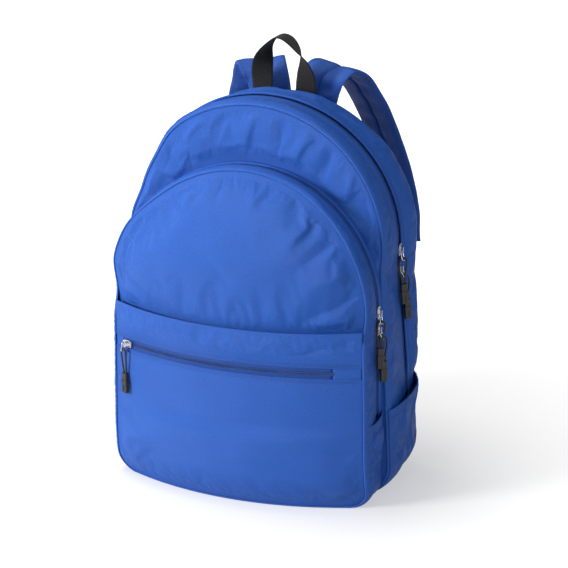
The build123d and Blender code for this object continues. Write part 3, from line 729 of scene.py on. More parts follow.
# Folds on the front wall, in (x, z).
FRONT_FOLDS = [
    (-62, 440, -84, 398, 9, 6, 2.2),
    (-30, 446, -46, 404, 8, 5, -1.8),
    (2, 444, -10, 402, 10, 6, 1.8),
    (40, 442, 30, 398, 9, 5, -2.2),
    (70, 430, 52, 392, 9, 6, 2.4),
    (96, 412, 86, 376, 7, 4, -2.4),
    (122, 388, 112, 350, 7, 4, 2.0),
    (134, 360, 142, 318, 6, 4, -2.2),
    (146, 330, 138, 300, 5, 4, 1.8),
    (-105, 404, -118, 362, 10, 6, -2.0),
    (-132, 372, -140, 330, 8, 5, 2.0),
]


def main_front_wall():
    """The wall behind the front pocket: a soft crescent above it, hidden below."""
    inner = pocket_p - pocket_n * 14
    edge = main_p - main_n * STAND_OFF
    t = spaced([0, 0.012, 0.03, 0.055, 0.09, 0.13], (0.18, 1, 26), [])
    flat = edge[:, None, :] * (1 - t[None, :, None]) + inner[:, None, :] * t[None, :, None]
    x, z = flat[..., 0], flat[..., 1]
    away = np.linalg.norm(flat - edge[:, None, :], axis=-1)
    near = np.linalg.norm(flat - (pocket_p + pocket_n * 1.0)[:, None, :], axis=-1)
    round_off = 0.3 * (1 - np.exp(-away / 1.2)) + 3.4 * (1 - np.exp(-away / 15.0))
    puff = 3.2 * (1 - np.exp(-((away / 22) ** 1.5))) * smooth(z, 250, 330)
    room = smooth(near, 0, 22) * 0.75 + 0.25
    waves = folds(x, z, FRONT_FOLDS) * 1.3 + noise2(x, z, 34, 3) * 0.8
    waves = waves * smooth(away, 2, 16) * smooth(z, 230, 300)
    y = FRONT_Y - (round_off + puff + waves) * np.where(z > 240, room, 0.3)
    y = y - 2.2 * np.exp(-((near / 16.0) ** 2)) * smooth(z, 280, 340)
    grid = leaning(np.stack([x, y, z], -1), MAIN_LEAN, smooth(near, 0, 20))
    loose = smooth(away, 2, 12) * smooth(near, 2, 16) * smooth(z, 230, 280)
    grid = settle(grid, loose, closed=True, grow=0.018, pressure=1.2, cap=4.5)
    cloth_panel("main_front_wall", grid, flat, polyester, closed=True, stands_for=("front_panel",))


front_band = main_front_band()
rear_band = main_rear_band()
main_front_wall()


# ------------------------------------------------------------------ padded back
def crowded(reach, count):
    """Places from -1 to 1 that lie closer together near both ends."""
    return np.sin(np.linspace(-1, 1, count) * pi / 2 * reach) / sin(pi / 2 * reach)


def fill_rows(shape, inset, z_from, z_to, columns):
    """Rows across an arch from z_from to z_to: grids of x, z and the distance from the edge."""
    points = outline(shape, inset)[0]
    half = points[:HALF]
    keep = (half[:, 1] >= z_from - 0.01) & (half[:, 1] <= z_to + 0.01)
    rows = half[keep]
    rows = rows[np.concatenate([[True], np.diff(rows[:, 1]) > 1e-6])]
    x = rows[:, :1] * crowded(0.94, columns)[None, :]
    z = np.repeat(rows[:, 1:], columns, 1)
    inside = np.full(x.shape, 1e9)
    for px, pz in points[::2]:
        inside = np.minimum(inside, np.hypot(x - px, z - pz))
    return x, z, inside


def padded_back():
    """The back panel: foam under cloth, with sewn channels."""
    x, z, inside = fill_rows(REAR, 0.0, 14.0, 600, 111)
    # Distance from the nearest sewn channel: three upright inside a frame of four.
    lines = np.full(x.shape, 1e9)
    for place in (-62.0, 0.0, 62.0):
        bowed = place * (1 - 0.10 * ((z - 220) / 220) ** 2)
        lines = np.minimum(lines, np.where(abs(z - 215) < 150, abs(x - bowed), 1e9))
    for height in (70.0, 360.0):
        lines = np.minimum(lines, np.where(abs(x) < 96, abs(z - height), 1e9))
    for place in (-96.0, 96.0):
        lines = np.minimum(lines, np.where(abs(z - 215) < 147, abs(x - place), 1e9))
    swell = 6.0 * (1 - np.exp(-((inside / 13.0) ** 1.4)))
    sewn = 1 - 0.72 * np.exp(-((lines / 6.0) ** 1.3))
    y = BACK_Y + 0.4 + swell * sewn + noise2(x, z, 40, 12) * 0.7 * smooth(inside, 4, 20)
    grid = np.stack([x, y, z], -1)
    loose = smooth(inside, 2, 9) * smooth(lines, 1, 5)
    grid = settle(grid, loose, grow=0.02, pressure=1.5, cap=2.5, crisp=3.0)
    obj = cloth_panel("padded_back", grid, np.stack([x, z], -1), back_cloth, slot="back_fabric",
                      stands_for=("back_panel", "back_foam"))


padded_back()

# ------------------------------------------------------------------ front pocket
# Radius about the upright axis, and height, of the dome and of the slip pocket's lower part.
DOME = np.array([(329, 0), (335, 60), (340, 150), (343, 245), (336, 300), (320, 342), (293, 388)], float)
SLIP = np.array([(336, 0), (347, 25), (FRONT_R, 62), (FRONT_R, 400)], float)


def natural(table, z):
    """A smooth curve through (value, height) pairs."""
    h, v = table[:, 1], table[:, 0]
    slope = np.gradient(v, h)
    z = np.clip(z, h[0], h[-1])
    k = np.clip(np.searchsorted(h, z, side="right") - 1, 0, len(h) - 2)
    w = h[k + 1] - h[k]
    t = (z - h[k]) / w
    a = (2 * t**3 - 3 * t**2 + 1) * v[k] + (t**3 - 2 * t**2 + t) * w * slope[k]
    return a + (-2 * t**3 + 3 * t**2) * v[k + 1] + (t**3 - t**2) * w * slope[k + 1]


def turned(x, r):
    """Depth y of the surface of radius r about the upright axis behind the bag."""
    return AXIS_Y - np.sqrt(np.maximum(r**2 - x**2, 1.0))


def slip_radius(z):
    """Radius of the slip pocket's wall about the upright axis."""
    return np.where(z < 62, natural(SLIP[:3], np.minimum(z, 62)), FRONT_R)


def pocket_seam_y(x, z):
    """Depth of the seam between the pocket's gusset and its front."""
    f = smooth(z, 196, 236)
    return turned(x, slip_radius(z) * (1 - f) + natural(DOME, z) * f)


SEAM_IN = 3.2  # the pocket's front seam lies this far inside its outline


def pocket_front_band():
    """From the pocket's zip forward to its front seam."""
    y0 = POCKET_ZIP_Y - lip_gap(pocket_p[:, 1])
    seam = pocket_p - pocket_n * SEAM_IN
    y1 = pocket_seam_y(seam[:, 0], seam[:, 1])
    t = spaced([0, 0.03, 0.07, 0.12, 0.18], (0.26, 0.8, 12), [0.86, 0.91, 0.95, 0.98, 1.0])
    ys = y0[:, None] + (y1 - y0)[:, None] * t[None, :]
    s = pocket_s[:, None] + 0 * ys
    z = pocket_p[:, 1][:, None] + 0 * ys
    a, b = y0[:, None] - ys, ys - y1[:, None]
    puff = 1.6 * (1 - np.exp(-np.maximum(a - 8, 0) / 7)) * (1 - np.exp(-b / 7))
    lively = smooth(np.minimum(a - 4, b), 0, 9)
    waves = noise2(s, ys * 1.4, 30, 15) * 1.0 + noise2(s, ys, 12, 16) * 0.35
    lift = puff + lively * waves * smooth(z, 4, 30) - rounded_in(b, 8.0, SEAM_IN)
    grid = wall_grid(pocket_p[:, None, :] + 0 * ys[..., None], pocket_n, ys, lift)
    grid = leaning(grid, POCKET_LEAN, smooth(a, 8, 26))
    loose = smooth(a, 8, 16) * smooth(b, 1, 8) * smooth(z, 8, 30)
    grid = settle(grid, loose, closed=True, flip=True, grow=0.03, pressure=1.0, cap=2.5)
    nodes = ("pocket_front_gusset", "pocket_base_gusset")
    return hemmed_band("pocket_front_gusset", grid, ys, pocket_s, pocket_n, nodes, HEM, flip=True)


def pocket_rear_band():
    """The narrow strip between the main compartment's front wall and the pocket's zip."""
    y0 = POCKET_ZIP_Y + lip_gap(pocket_p[:, 1])
    y1 = np.full(len(y0), FRONT_Y - 0.6)
    t = np.array([0, 0.1, 0.25, 0.42, 0.6, 0.78, 0.9, 1.0])
    ys = y0[:, None] + (y1 - y0)[:, None] * t[None, :]
    lift = 0.5 * np.sin(pi * t)[None, :] + 0 * ys
    grid = wall_grid(pocket_p[:, None, :] + 0 * ys[..., None], pocket_n, ys, lift)
    return hemmed_band("pocket_rear_gusset_strip", grid, ys, pocket_s, pocket_n, ("pocket_rear_gusset",),
                       -HEM)


# Folds on the dome, in (x, z).
DOME_FOLDS = [
    (150, 262, 78, 226, 13, 8, -2.6),
    (146, 292, 84, 262, 12, 9, 2.2),
    (128, 330, 84, 292, 12, 7, -2.2),
    (98, 352, 70, 316, 12, 7, 2.0),
    (-6, 382, -34, 344, 12, 7, -1.8),
    (-46, 376, -70, 340, 12, 8, 1.8),
    (30, 378, 18, 346, 11, 7, 1.4),
    (-110, 334, -128, 300, 12, 8, -1.6),
    (148, 236, 96, 222, 9, 7, 1.6),
    (-150, 262, -104, 232, 12, 8, -1.4),
]


def pocket_dome():
    """The front wall of the pocket, which bulges; its lower part is behind the slip pocket."""
    x, z, inside = fill_rows(POCKET, SEAM_IN, 40.0, 600, 121)
    edge_y = turned(x, natural(DOME, z))
    rise = smooth(z, 205, 240)
    puff = 3.6 * (1 - np.exp(-((inside / 15.0) ** 1.2))) * rise
    waves = folds(x, z, DOME_FOLDS) * 1.5 + noise2(x, z, 52, 21) * 1.0 + noise2(x, z, 24, 22) * 0.35
    waves = waves * smooth(inside, 2, 18) * rise
    y = edge_y - puff - waves
    grid = leaning(np.stack([x, y, z], -1), POCKET_LEAN)
    loose = smooth(inside, 1, 9) * smooth(z, 200, 232)
    grid = settle(grid, loose, flip=True, grow=0.018, pressure=1.4, cap=5.5)
    uv = np.stack([x * 1.03, z * 1.06], -1)
    cloth_panel("pocket_front_dome", grid, uv, polyester, flip=True, stands_for=("pocket_front_panel",))


PULL_ROOM = 0.7  # how far the cloth below the front zip may stand out past the zip's own surface
PRESS_SOFTNESS = 0.6  # over this much the cloth eases into that limit
# Folds on the slip pocket, in (x, z).
SLIP_FOLDS = [
    (150, 206, 60, 190, 12, 8, -1.0),
    (-150, 200, -90, 186, 10, 7, 1.0),
    (152, 60, 70, 96, 16, 10, -1.6),
    (150, 26, 92, 44, 12, 8, 1.6),
    (-152, 40, -96, 66, 14, 9, 1.4),
    (-146, 120, -90, 96, 18, 12, -1.2),
    (140, 140, 80, 112, 18, 12, 1.2),
]


def slip_surface(x, z, inside):
    """Depth y of the slip pocket's outer wall."""
    base = turned(x, slip_radius(z))
    puff = 2.4 * (1 - np.exp(-((inside / 16.0) ** 1.2)))
    zip_near = np.exp(-(((z - FRONT_ZIP_Z) / 16.0) ** 4)) * (x > -150) * (x < 150)
    waves = folds(x, z, SLIP_FOLDS) * 1.6 + noise2(x, z, 60, 31) * 1.0 + noise2(x, z, 26, 32) * 0.3
    waves = waves * smooth(inside, 2, 18)
    # Beside the zip the cloth stays on the sliders' track.
    return base - (puff + waves) * (1 - zip_near)


def held_back(grid):
    """Press the cloth below the front zip back to where the slider's pull can pass over it."""
    x, y, z = grid[..., 0], grid[..., 1], grid[..., 2]
    radius = np.hypot(x, y - AXIS_Y)
    over = radius - (FRONT_R + PULL_ROOM)
    excess = PRESS_SOFTNESS * np.log1p(np.exp(np.clip(over / PRESS_SOFTNESS, -30, 30)))
    new = radius - excess * smooth(z, 84, 106)
    grid[..., 0], grid[..., 1] = x * new / radius, AXIS_Y + (y - AXIS_Y) * new / radius
    return grid


def slip_panel(name, zs, node, upper):
    """One of the slip pocket's two panels, with the edge beside the zip turned in."""
    column = outline(POCKET, SEAM_IN)[0][COUNTS[0]:HALF]
    width = np.interp(zs, column[:, 1], column[:, 0])
    across = crowded(0.9, 131)
    x = width[:, None] * across[None, :]
    z = np.repeat(zs[:, None], len(across), 1)
    if upper:
        z = z - 2.6 * (1 - (x / 155) ** 2) * smooth(z, zs[0] + 12, zs[-1])
    to_side = width[:, None] - abs(x)
    y = slip_surface(x, z, np.minimum(to_side + 0.5, 60.0 if upper else z + 1.0))
    if upper:
        y = y - smooth(z, 200, SLIP_TOP) * (noise2(x, z * 0, 60, 40) * 0.8)
    grid = np.stack([x, y, z], -1)
    loose = smooth(abs(z - FRONT_ZIP_Z), 15, 26) * smooth(to_side, 1, 9)
    loose = loose * smooth(z, 3, 14) * smooth(SLIP_TOP - z, 2, 9)
    grid = settle(grid, loose, flip=True, grow=0.011, pressure=1.0, cap=3.5)
    if not upper:
        grid = held_back(grid)
    edge = (grid[:1] if upper else grid[-1:]).copy()
    edge[..., 1] += HEM
    grid = np.concatenate([edge, grid] if upper else [grid, edge], 0)
    if upper:
        grid = np.concatenate([grid, turned_down(grid)], 0)
    uv = np.stack([grid[..., 0] * 1.03, grid[..., 2]], -1)
    cloth_panel(name, grid, uv, polyester, flip=True, stands_for=(node,), thickness=0.8)
    return grid


def turned_down(grid):
    """Rows of the hem behind a panel's top edge. They follow the back of the panel's own surface."""
    rows = []
    for depth in (0.3, 3.5, 7, 10.5, 14):
        row = grid[-1].copy()
        row[:, 2] -= depth
        row[:, 1] = [np.interp(row[j, 2], grid[:, j, 2], grid[:, j, 1]) for j in range(len(row))]
        row[:, 1] += 1.7
        rows.append(row)
    return rows


def slip_strip(name, x0, x1, nodes):
    """The cloth that closes the zip's window beyond one end of the zip."""
    xs = np.linspace(x0, x1, 14)
    zs = np.linspace(FRONT_ZIP_Z - FRONT_SLOT - 3, FRONT_ZIP_Z + FRONT_SLOT + 3, 12)
    x, z = np.meshgrid(xs, zs, indexing="ij")
    grid = np.stack([x, turned(x, np.full(x.shape, FRONT_R - 0.7)), z], -1)
    cloth_panel(name, grid, np.stack([x, z], -1), polyester, stands_for=nodes, thickness=0.7)


low_edge, high_edge = FRONT_ZIP_Z - FRONT_LIP, FRONT_ZIP_Z + FRONT_LIP
lower_rows = np.concatenate([np.linspace(SEAM_IN, 22, 16), np.linspace(24, low_edge - 8, 52),
                             low_edge - np.array([6, 4.4, 3.2, 2, 1, 0])])
upper_rows = np.concatenate([high_edge + np.array([0, 1, 2, 3.2, 4.4, 6]),
                             np.linspace(high_edge + 8, SLIP_TOP - 6, 16),
                             SLIP_TOP - np.array([4.4, 3.2, 2, 1, 0])])
pocket_band = pocket_front_band()
pocket_strip = pocket_rear_band()
pocket_dome()
slip_lower = slip_panel("slip_lower_panel", lower_rows, "slip_panel_lower", False)
slip_upper = slip_panel("slip_upper_panel", upper_rows, "slip_panel_upper", True)
slip_strip("slip_strip_left", -152.5, FRONT_ZIP_X[0], ("slip_fillers",))
slip_strip("slip_strip_right", FRONT_ZIP_X[1], 152.5, ())


def pouch_lining():
    """The lining behind the front zip."""
    xs = np.linspace(-141, 141, 40)
    zs = np.linspace(71, 185, 12)
    x, z = np.meshgrid(xs, zs, indexing="ij")
    grid = np.stack([x, turned(x, np.full(x.shape, FRONT_R - 4.5)), z], -1)
    cloth_panel("front_pouch_lining_cloth", grid, np.stack([x, z], -1), lining, slot="lining",
                stands_for=("front_pouch_lining",), thickness=0.5)


pouch_lining()


# ------------------------------------------------------------------ zips
def arch_zip_line(shape, depth, tilt, pitch):
    """Centres, outward normals and tangents along a zip on an arch, from its right end to its left."""
    p, n = outline(dict(shape, centre=0.0, bottom=-shape["centre"]))
    side, up = np.array([1.0, 0, 0]), np.array([0, -sin(tilt), cos(tilt)])
    points = np.array([0, depth, shape["centre"]]) + p[:, :1] * side + p[:, 1:] * up
    normals = n[:, :1] * side + n[:, 1:] * up
    keep = points[:, 2] > ZIP_END + 0.5
    points, normals = resample(points[keep], pitch, normals[keep])
    return points, normals, np.gradient(points, axis=0)


def main_line(pitch):
    return arch_zip_line(MAIN, MAIN_ZIP_Y, MAIN_ZIP_TILT, pitch)


def pocket_line(pitch):
    return arch_zip_line(POCKET, POCKET_ZIP_Y, 0.0, pitch)


def front_line(pitch):
    """The same for the level zip on the curved front."""
    angles = np.arcsin(np.array(FRONT_ZIP_X) / FRONT_R)
    count = int((angles[1] - angles[0]) * FRONT_R / pitch)
    a = np.linspace(angles[0], angles[1], count)
    normals = np.stack([np.sin(a), -np.cos(a), 0 * a], 1)
    points = np.array([0, AXIS_Y, FRONT_ZIP_Z]) + FRONT_R * normals
    return points, normals, np.gradient(points, axis=0)


TOOTH = capsule(2.15, 0.95, 1.15, rings=4, sides=6)


TOOTH_PITCH, TAPE_STEP = 1.32, 4.0


def zip_rows(name, line, tape_half, depth=1.5):
    """Interlocking teeth on both sides, and the tapes with a raised cord beside the teeth."""
    points, normals, tangent = line(TOOTH_PITCH)
    frames = oriented(tangent, normals)
    along, outward = frames[..., 0], frames[..., 2]
    centres, turns = [], []
    for side in (1, -1):
        across = frames[..., 1] * side
        lean = along * 0.22 * side + across
        lean = lean / np.linalg.norm(lean, axis=1)[:, None]
        place = points + across * 1.08 + along * (0.33 * side) - outward * 0.42
        centres.append(place)
        turns.append(oriented(lean, outward))
    scatter(name + "_teeth", TOOTH, np.vstack(centres), np.vstack(turns), coil, slot="zip_coil",
            stands_for=(name + "_coils",))
    points, normals, tangent = line(TAPE_STEP)
    frames = oriented(tangent, normals)
    verts, faces, uvs = [], [], []
    offsets = [0.15, 2.2, 3.3, 3.9, tape_half * 0.7, tape_half]
    rises = [-0.1, -0.1, 0.12, 0.0, 0.0, 0.0]
    s = line_distance(points)
    for side in (1, -1):
        rows = []
        for offset, rise in zip(offsets, rises):
            rows.append(points + frames[..., 1] * side * offset + frames[..., 2] * (rise - depth))
        grid = np.stack(rows, 1)
        base = len(verts)
        verts.extend(grid.reshape(-1, 3))
        places = np.array(offsets)[None, :] * side + 0 * s[:, None]
        uvs.extend(np.stack([np.repeat(s[:, None], len(offsets), 1), places], -1).reshape(-1, 2))
        for face in grid_faces(len(points), len(offsets), flip=side > 0):
            faces.append(tuple(base + i for i in face))
    obj = make(name + "_tape", np.array(verts), faces, tape, uvs=np.array(uvs), slot="zip_tape",
               stands_for=(name + "_tapes",))
    thicken(obj, 0.5)


zip_rows("main_zip", main_line, 12.0)
zip_rows("pocket_zip", pocket_line, 11.5)
zip_rows("front_zip", front_line, 11.5, depth=1.15)

# ------------------------------------------------------------------ side pockets
# Gathers, in shares of the pocket's width and height.
SIDE_FOLDS = [
    (0.28, 0.0, 0.34, 0.9, 0.06, 0.03, 4.2),
    (0.50, 0.05, 0.46, 0.8, 0.05, 0.03, -3.2),
    (0.66, 0.0, 0.70, 0.95, 0.06, 0.03, 3.8),
    (0.86, 0.1, 0.84, 0.7, 0.05, 0.03, -2.6),
    (0.13, 0.2, 0.12, 0.9, 0.05, 0.03, -1.4),
]


def side_pocket(name, side, loop_p, y_front, y_rear, top_front, top_rear, bulge, seed, node, wall=None):
    """An open pocket sewn to the side wall: gathered folds, and a hem that stands off the wall."""
    ts = np.linspace(0, 1, 41)
    us = spaced([], (0, 0.9, 34), [0.925, 0.95, 0.97, 0.985, 1.0])
    first = COUNTS[0] + 4  # past the bottom and the start of the corner
    grid = np.zeros((len(ts), len(us), 3))
    for i, t in enumerate(ts):
        y = y_front + (y_rear - y_front) * t
        column = loop_p[:HALF] if wall is None else wall(np.full(1, y))[:HALF, 0]
        top = top_front + (top_rear - top_front) * t
        z = 9 + (top - 9) * us
        x = np.interp(z, column[first:, 1], column[first:, 0])
        out = 0.9 + bulge * np.clip(4 * t * (1 - t), 0, 1) ** 0.8 * us**1.5
        crease = folds(np.full(us.shape, t), us, SIDE_FOLDS) * np.sin(pi * t) ** 0.5 * (0.25 + 0.75 * us)
        ripple = noise2(np.full(us.shape, t * 90), us * 60, 16, seed) * 0.7 * sin(pi * t)
        front = y_front if wall is not None else np.maximum(y_front, pocket_seam_y(x, z) + 6.0)
        depth = front + (y_rear - front) * t + 0 * z
        grid[i] = np.stack([(x + np.maximum(out + crease + ripple, 0.6)) * side, depth, z], -1)
    free = np.minimum(ts, 1 - ts)[:, None] * abs(y_rear - y_front)
    loose = smooth(free, 1, 8) * smooth(us, 0.05, 0.3)[None, :] * (1 - 0.5 * smooth(us, 0.9, 1.0)[None, :])
    grid = settle(grid, loose, flip=side < 0, grow=0.04, pressure=0.6, cap=3.0)
    drop = grid[:, -1:].copy()
    drop[..., 0] -= 1.2 * side
    inner = drop.copy()
    inner[..., 2] -= 12
    full = np.concatenate([grid, drop, inner], 1)
    cloth_panel(name, full, full[..., 1:], polyester, flip=side < 0, stands_for=(node,), thickness=0.7)
    normals = grid_normals(grid)
    if np.mean(normals[..., 0]) * side < 0:
        normals = -normals
    for row in (-6, -8):
        stitch("bag", grid[:, row], normals[:, row])


for side, word in ((1, "right"), (-1, "left")):
    side_pocket(word + "_main_side_pocket", side, main_p, FRONT_Y + 1.0, 74.0, 108.0, 121.0, 12.0, 50 + side,
                word + "_side_pocket", wall=main_wall)
    side_pocket(word + "_front_side_pocket_cloth", side, pocket_p, -83.0, FRONT_Y - 1.5, 103.0, 109.0, 5.0,
                60 + side, word + "_front_side_pocket")


# ------------------------------------------------------------------ straps, handle and webbing
def frames_along(points, across):
    """Unit vectors across a route and out of its face."""
    forward = np.gradient(points, axis=0)
    forward /= np.linalg.norm(forward, axis=1)[:, None]
    across = across - forward * np.sum(across * forward, 1)[:, None]
    across /= np.linalg.norm(across, axis=1)[:, None]
    return across, np.cross(forward, across)


SPAN_STEPS = 24


def through(points, count):
    """A smooth line with count points through the given ones, evenly spaced."""
    points = np.asarray(points, float)
    p = np.vstack([2 * points[0] - points[1], points, 2 * points[-1] - points[-2]])
    out = []
    for i in range(1, len(p) - 2):
        for t in np.linspace(0, 1, SPAN_STEPS, endpoint=False):
            a = 2 * p[i]
            b = p[i + 1] - p[i - 1]
            c = 2 * p[i - 1] - 5 * p[i] + 4 * p[i + 1] - p[i + 2]
            d = -p[i - 1] + 3 * p[i] - 3 * p[i + 1] + p[i + 2]
            out.append(0.5 * (a + b * t + c * t * t + d * t**3))
    out.append(points[-1])
    out = np.array(out)
    s = line_distance(out[:, :3])
    at = np.linspace(0, s[-1], count)
    return np.stack([np.interp(at, s, out[:, k]) for k in range(out.shape[1])], 1)


# Middle line of the right strap (x, y, z) and its across direction, from the top seam down to its end.
STRAP = [
    (28, 88.2, 434, 1, 0, -0.35),
    (33, 91, 454, 1, -0.02, -0.30),
    (41, 98, 465, 1, -0.10, -0.20),
    (52, 111, 466, 1, -0.22, -0.08),
    (63, 127, 452, 1, -0.32, 0.02),
    (79, 147, 412, 1, -0.40, 0.12),
    (95, 158, 360, 1, -0.38, 0.16),
    (107, 161, 305, 1, -0.22, 0.15),
    (112, 153, 252, 1, 0, 0.1),
]


EDGE_SEAM = 23.4  # the seams along the strap's edges are this far from its middle line
STRAP_START = 16  # the first stitched section: below it the strap's foot bends with the bag


def shoulder_strap(side, word):
    """Foam under cloth: rounded edges, a stitched middle line and cross puckers."""
    route = through(STRAP, 150)
    points, across = route[:, :3], route[:, 3:]
    if side < 0:
        points, across = points * [-1, 1, 1], across * [1, -1, -1]
    across, out = frames_along(points, across)
    s = line_distance(points)
    # The section's columns, over the outer face from edge to edge and back under it.
    half = np.array([27, 26.7, 25.6, EDGE_SEAM, 20, 15.5, 11, 7.4, 4.6, 2.6, 1.2, 0])
    wide = np.concatenate([half, -half[-2::-1], -half[1:], half[-2:0:-1]])
    face = np.concatenate([np.ones(2 * len(half) - 1), -np.ones(2 * len(half) - 3)])
    n = len(wide)
    body = np.sqrt(1 - np.clip(abs(wide) / 27.0, 0, 1) ** 5)
    groove = 1 - 0.62 * np.exp(-((wide / 2.2) ** 2))
    rims = 1 - 0.2 * np.exp(-(((abs(wide) - EDGE_SEAM) / 1.8) ** 2))
    grid = np.zeros((len(points), n, 3))
    uv = np.zeros((len(points), n, 2))
    ends = np.minimum(s, s[-1] - s)
    for i in range(len(points)):
        along = np.full(n, s[i])
        flat = np.clip(ends[i] / 9, 0, 1) ** 0.5
        wave = np.sin(2 * pi * along / 24 + noise2(along, wide, 30, 71) * 2.6)
        pucker = 0.9 * wave * np.exp(-(((abs(wide) - 8) / 8) ** 2)) + 0.5 * noise2(along, wide, 13, 72)
        height = face * body * (4.3 * (0.35 + 0.65 * flat) * groove * rims + pucker * flat)
        edge = 0.6 * noise2(along, wide / 14, 20, 73) * np.sign(wide) * (abs(wide) > 20)
        grid[i] = points[i] + across[i] * (wide + edge)[:, None] + out[i] * height[:, None]
        uv[i] = np.stack([along, np.arange(n) * 3.0], -1)
    obj = make(word + "_shoulder_strap", grid.reshape(-1, 3), tube_faces(len(points), n), strap_cloth,
               body=None, uvs=uv.reshape(-1, 2), slot="shell_fabric",
               stands_for=(word + "_strap_foam", word + "_strap_outer_fabric", word + "_strap_inner_fabric"))
    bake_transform(obj)
    for sign in (1, -1):
        for place in (0, EDGE_SEAM, -EDGE_SEAM):
            row = int(np.flatnonzero((wide == place) & (face == sign))[0])
            line, up = grid[STRAP_START:-4, row], out[STRAP_START:-4] * sign
            stitch(word + "_strap", line, up, pitch=3.8, lift=0.15)


WEB_WIDTH, WEB_THICKNESS, SELVEDGE = 25, 1.6, 0.12


def ribbon(name, points, across, node):
    """Flat woven webbing along a route, with rounded edges and raised selvedges."""
    across, out = frames_along(points, across)
    s = line_distance(points)
    profile = []
    columns = np.linspace(-1, 1, 13)
    for face, order in ((1, columns), (-1, columns[::-1])):
        for c in order:
            height = WEB_THICKNESS / 2 * (1 - 0.5 * abs(c) ** 12) + SELVEDGE * (abs(c) > 0.85)
            profile.append((c * WEB_WIDTH / 2, face * height))
    profile = np.array(profile)
    n = len(profile)
    sideways, raised = across[:, None, :] * profile[None, :, :1], out[:, None, :] * profile[None, :, 1:]
    grid = points[:, None, :] + sideways + raised
    uv = np.stack([np.repeat(s[:, None], n, 1), np.repeat(profile[None, :, 0], len(s), 0)], -1)
    return make(name, grid.reshape(-1, 3), tube_faces(len(points), n), webbing, body=None,
                uvs=uv.reshape(-1, 2), slot="webbing", stands_for=(node,))


# The right ladder lock's middle and directions, as in the CAD model, and where its webbing is anchored.
LOCK = np.array([114.5, 146.5, 214.0])
LOCK_X = np.array([-0.997763, 0.005637, -0.066607])
LOCK_Y = np.array([-0.064712, 0.16825, 0.983618])
LOCK_Z = np.array([0.016751, 0.985728, -0.167509])
TURN = 2.6  # how far the webbing stands off the lock's middle where it turns round a bar
ANCHOR = np.array([126.0, 88.0, 40.0])


def lock_route(side, pairs):
    """Points from pairs (up the strap, away from the bag) in the plane across the ladder lock."""
    points = np.array([LOCK + LOCK_Y * a + LOCK_Z * b for a, b in pairs])
    across = np.repeat(-LOCK_X[None], len(points), 0)
    if side < 0:
        points, across = points * [-1, 1, 1], across * [1, -1, -1]
    return points, across


WEB_STEP = 6.0  # longest step along a straight run of webbing
CORNER_STEPS = 5


def rounded(pairs, radius):
    """A route of flat webbing whose corners are rounded."""
    pairs = [np.array(p, float) for p in pairs]
    out = [pairs[0]]
    for a, b, c in zip(pairs, pairs[1:], pairs[2:]):
        u, v = (a - b) / np.linalg.norm(a - b), (c - b) / np.linalg.norm(c - b)
        cut = min(radius, 0.45 * np.linalg.norm(a - b), 0.45 * np.linalg.norm(c - b))
        for t in np.linspace(0, 1, CORNER_STEPS):
            p, q = b + u * cut * (1 - t), b + v * cut * t
            out.append(p * (1 - t) + q * t)
    out.append(pairs[-1])
    fine = []
    for a, b in zip(out, out[1:]):
        steps_here = max(1, int(np.linalg.norm(b - a) / WEB_STEP))
        for k in range(steps_here):
            fine.append(a + (b - a) * k / steps_here)
    fine.append(out[-1])
    return fine


def strap_webbing(side, word):
    """The strap's webbing loop round the ladder lock, the adjusting webbing and its free tail."""
    around = [(39, 1.3), (20, TURN), (10.3, TURN), (10.3, -TURN), (20, -TURN), (39, -1.3)]
    route = lock_route(side, rounded(around, 1.6))
    loop = ribbon(word + "_strap_loop_webbing", *route, word + "_strap_loop")
    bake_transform(loop)
    a = (ANCHOR - LOCK) @ LOCK_Y
    b = (ANCHOR - LOCK) @ LOCK_Z
    sag = (0.45 * a - 8, 0.45 * b - 5)
    path = [(a, b), sag, (-30, -TURN - 0.6), (4.9, -TURN), (4.9, TURN), (-30, TURN + 0.6), (-72, TURN + 4),
            (-112, TURN + 4)]
    route = lock_route(side, rounded(path, 1.8))
    obj = ribbon(word + "_adjusting_webbing", *route, word + "_lower_webbing")
    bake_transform(obj)


def wing_tab(side, word):
    """A folded triangle of cloth sewn to the back's lower corner, which holds the adjusting webbing."""
    x0, x1 = 111.0, 141.0
    rear = BACK_Y + 1.3
    cut = [(rear, 20), (rear, 70), (BACK_Y + 5.2, 44)]
    profile = rounded(cut + [cut[0]], 3.0)[:-1]
    xs = np.linspace(x0, x1, 9)
    verts = np.array([(x * side, y + 0.3 * sin((x - x0) / 30 * pi), z) for x in xs for y, z in profile])
    faces = tube_faces(len(xs), len(profile))
    if side > 0:
        faces = [face[::-1] for face in faces]
    make(word + "_wing_tab_cloth", verts, faces, polyester, uvs=verts[:, [0, 2]], slot="shell_fabric",
         stands_for=(word + "_wing_tab",))


for side, word in ((1, "right"), (-1, "left")):
    shoulder_strap(side, word)
    strap_webbing(side, word)
    wing_tab(side, word)

# Middle line of the grab handle (x, y, z) and its across direction in x and y, from foot to foot.
HANDLE = [
    (-31, 70, 444.0, 1, 0),
    (-31.5, 70.5, 456, 1, 0.05),
    (-32, 71, 466, 0.95, 0.3),
    (-31, 72, 480, 0.7, 0.7),
    (-27, 72, 494, 0.25, 0.97),
    (-18, 71, 505, 0, 1),
    (-8, 70, 509.5, 0, 1),
    (3, 71, 505, 0, 1),
    (13, 72, 493, -0.25, 0.97),
    (19, 72, 480, -0.7, 0.7),
    (22, 71, 466, -0.95, 0.3),
    (23, 70.5, 456, -1, 0.05),
    (23, 70, 444.0, -1, 0),
]
handle_line = through(HANDLE, 90)
handle_across = np.stack([handle_line[:, 3], handle_line[:, 4], 0 * handle_line[:, 3]], 1)
handle = ribbon("grab_handle_webbing", handle_line[:, :3], handle_across, "grab_handle")
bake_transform(handle)


